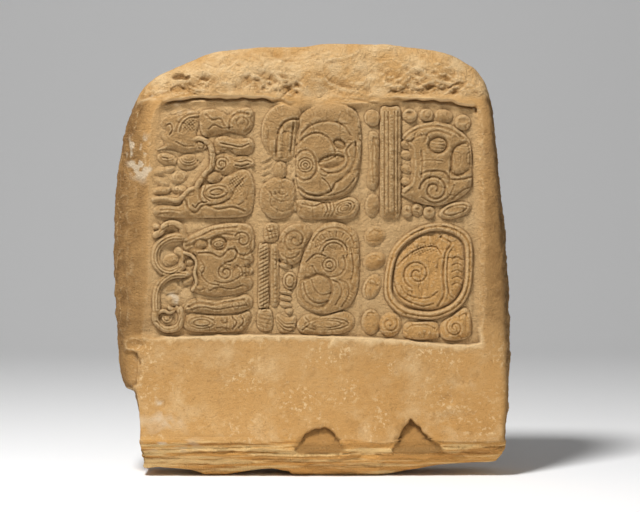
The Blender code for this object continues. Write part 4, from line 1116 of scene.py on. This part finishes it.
# The stage: a sheet of pale paper that runs back and bends up behind the stone, with a soft light high in
# front, a weak one low at the right and an even pale sky. It is in metres.
PAPER_HALF, PAPER_FRONT, PAPER_BEND, PAPER_RADIUS, PAPER_TALL = 5.0, -4.0, 1.5, 1.2, 4.0
SKY = 0.17
bend = np.radians(np.linspace(0, 90, 24))
paper_line = np.vstack([
    [[PAPER_FRONT, 0]],
    np.column_stack([PAPER_BEND + PAPER_RADIUS * np.sin(bend), PAPER_RADIUS * (1 - np.cos(bend))]),
    [[PAPER_BEND + PAPER_RADIUS, PAPER_TALL]],
])
paper_points = [(side * PAPER_HALF, y, z) for y, z in paper_line for side in (-1, 1)]
paper_faces = [(2 * n, 2 * n + 1, 2 * n + 3, 2 * n + 2) for n in range(len(paper_line) - 1)]
floor_mesh = bpy.data.meshes.new("paper")
floor_mesh.from_pydata(paper_points, [], paper_faces)
floor_mesh.shade_smooth()
floor = bpy.data.objects.new("paper", floor_mesh)
bpy.context.scene.collection.objects.link(floor)
paper = bpy.data.materials.new("pale paper")
paper.use_nodes = True
paper_shader = paper.node_tree.nodes["Principled BSDF"]
paper_shader.inputs["Base Color"].default_value = linear(246, 246, 246)
paper_shader.inputs["Roughness"].default_value = 0.95
floor_mesh.materials.append(paper)

world = bpy.data.worlds.new("pale studio")
bpy.context.scene.world = world
world.use_nodes = True
world.node_tree.nodes["Background"].inputs["Color"].default_value = (1.0, 1.0, 1.0, 1)
world.node_tree.nodes["Background"].inputs["Strength"].default_value = SKY
bpy.context.scene.view_settings.view_transform = "Standard"


def aimed(data, place, at):
    """An object for this light or camera that stands at the place and looks at the other point."""
    obj = bpy.data.objects.new(data.name, data)
    bpy.context.scene.collection.objects.link(obj)
    back = np.array(place, float) - np.array(at, float)
    back /= np.linalg.norm(back)
    right_way = np.cross([0, 0, 1], back)
    right_way /= np.linalg.norm(right_way)
    turn = np.column_stack([right_way, np.cross(back, right_way), back])
    matrix = np.eye(4)
    matrix[:3, :3] = turn
    matrix[:3, 3] = place
    obj.matrix_world = Matrix(matrix.tolist())
    return obj


for name, place_at, size, power in (
    ("high soft light", (-0.46, -0.86, 1.72), 0.4, 41.5),
    ("low fill", (1.6, -1.8, 0.5), 1.5, 3),
):
    lamp = bpy.data.lights.new(name, "AREA")
    lamp.shape = "DISK"
    lamp.size = size
    lamp.energy = power
    aimed(lamp, place_at, (0, 0, 0.25))

# The camera: a long lens, level with the upper row, and turned a little right and down
CAMERA_DISTANCE, CAMERA_ACROSS, CAMERA_UP = 2.2, -0.0135, 0.303
SENSOR_WIDE, FOCAL_PIXELS, PICTURE_WIDE = 36, 2200, 640
RIGHT_PIXELS, DOWN_PIXELS = 21, 80  # how far the picture's middle lies from the point level with the eye
camera = bpy.data.cameras.new("camera")
camera.sensor_width = SENSOR_WIDE
camera.lens = SENSOR_WIDE * FOCAL_PIXELS / PICTURE_WIDE
camera.clip_end = 50
eye = np.array([CAMERA_ACROSS, LOW[1] / 1000 - CAMERA_DISTANCE, CAMERA_UP])
look = np.array([RIGHT_PIXELS / FOCAL_PIXELS, 1, -DOWN_PIXELS / FOCAL_PIXELS])
bpy.context.scene.camera = aimed(camera, eye, eye + look)
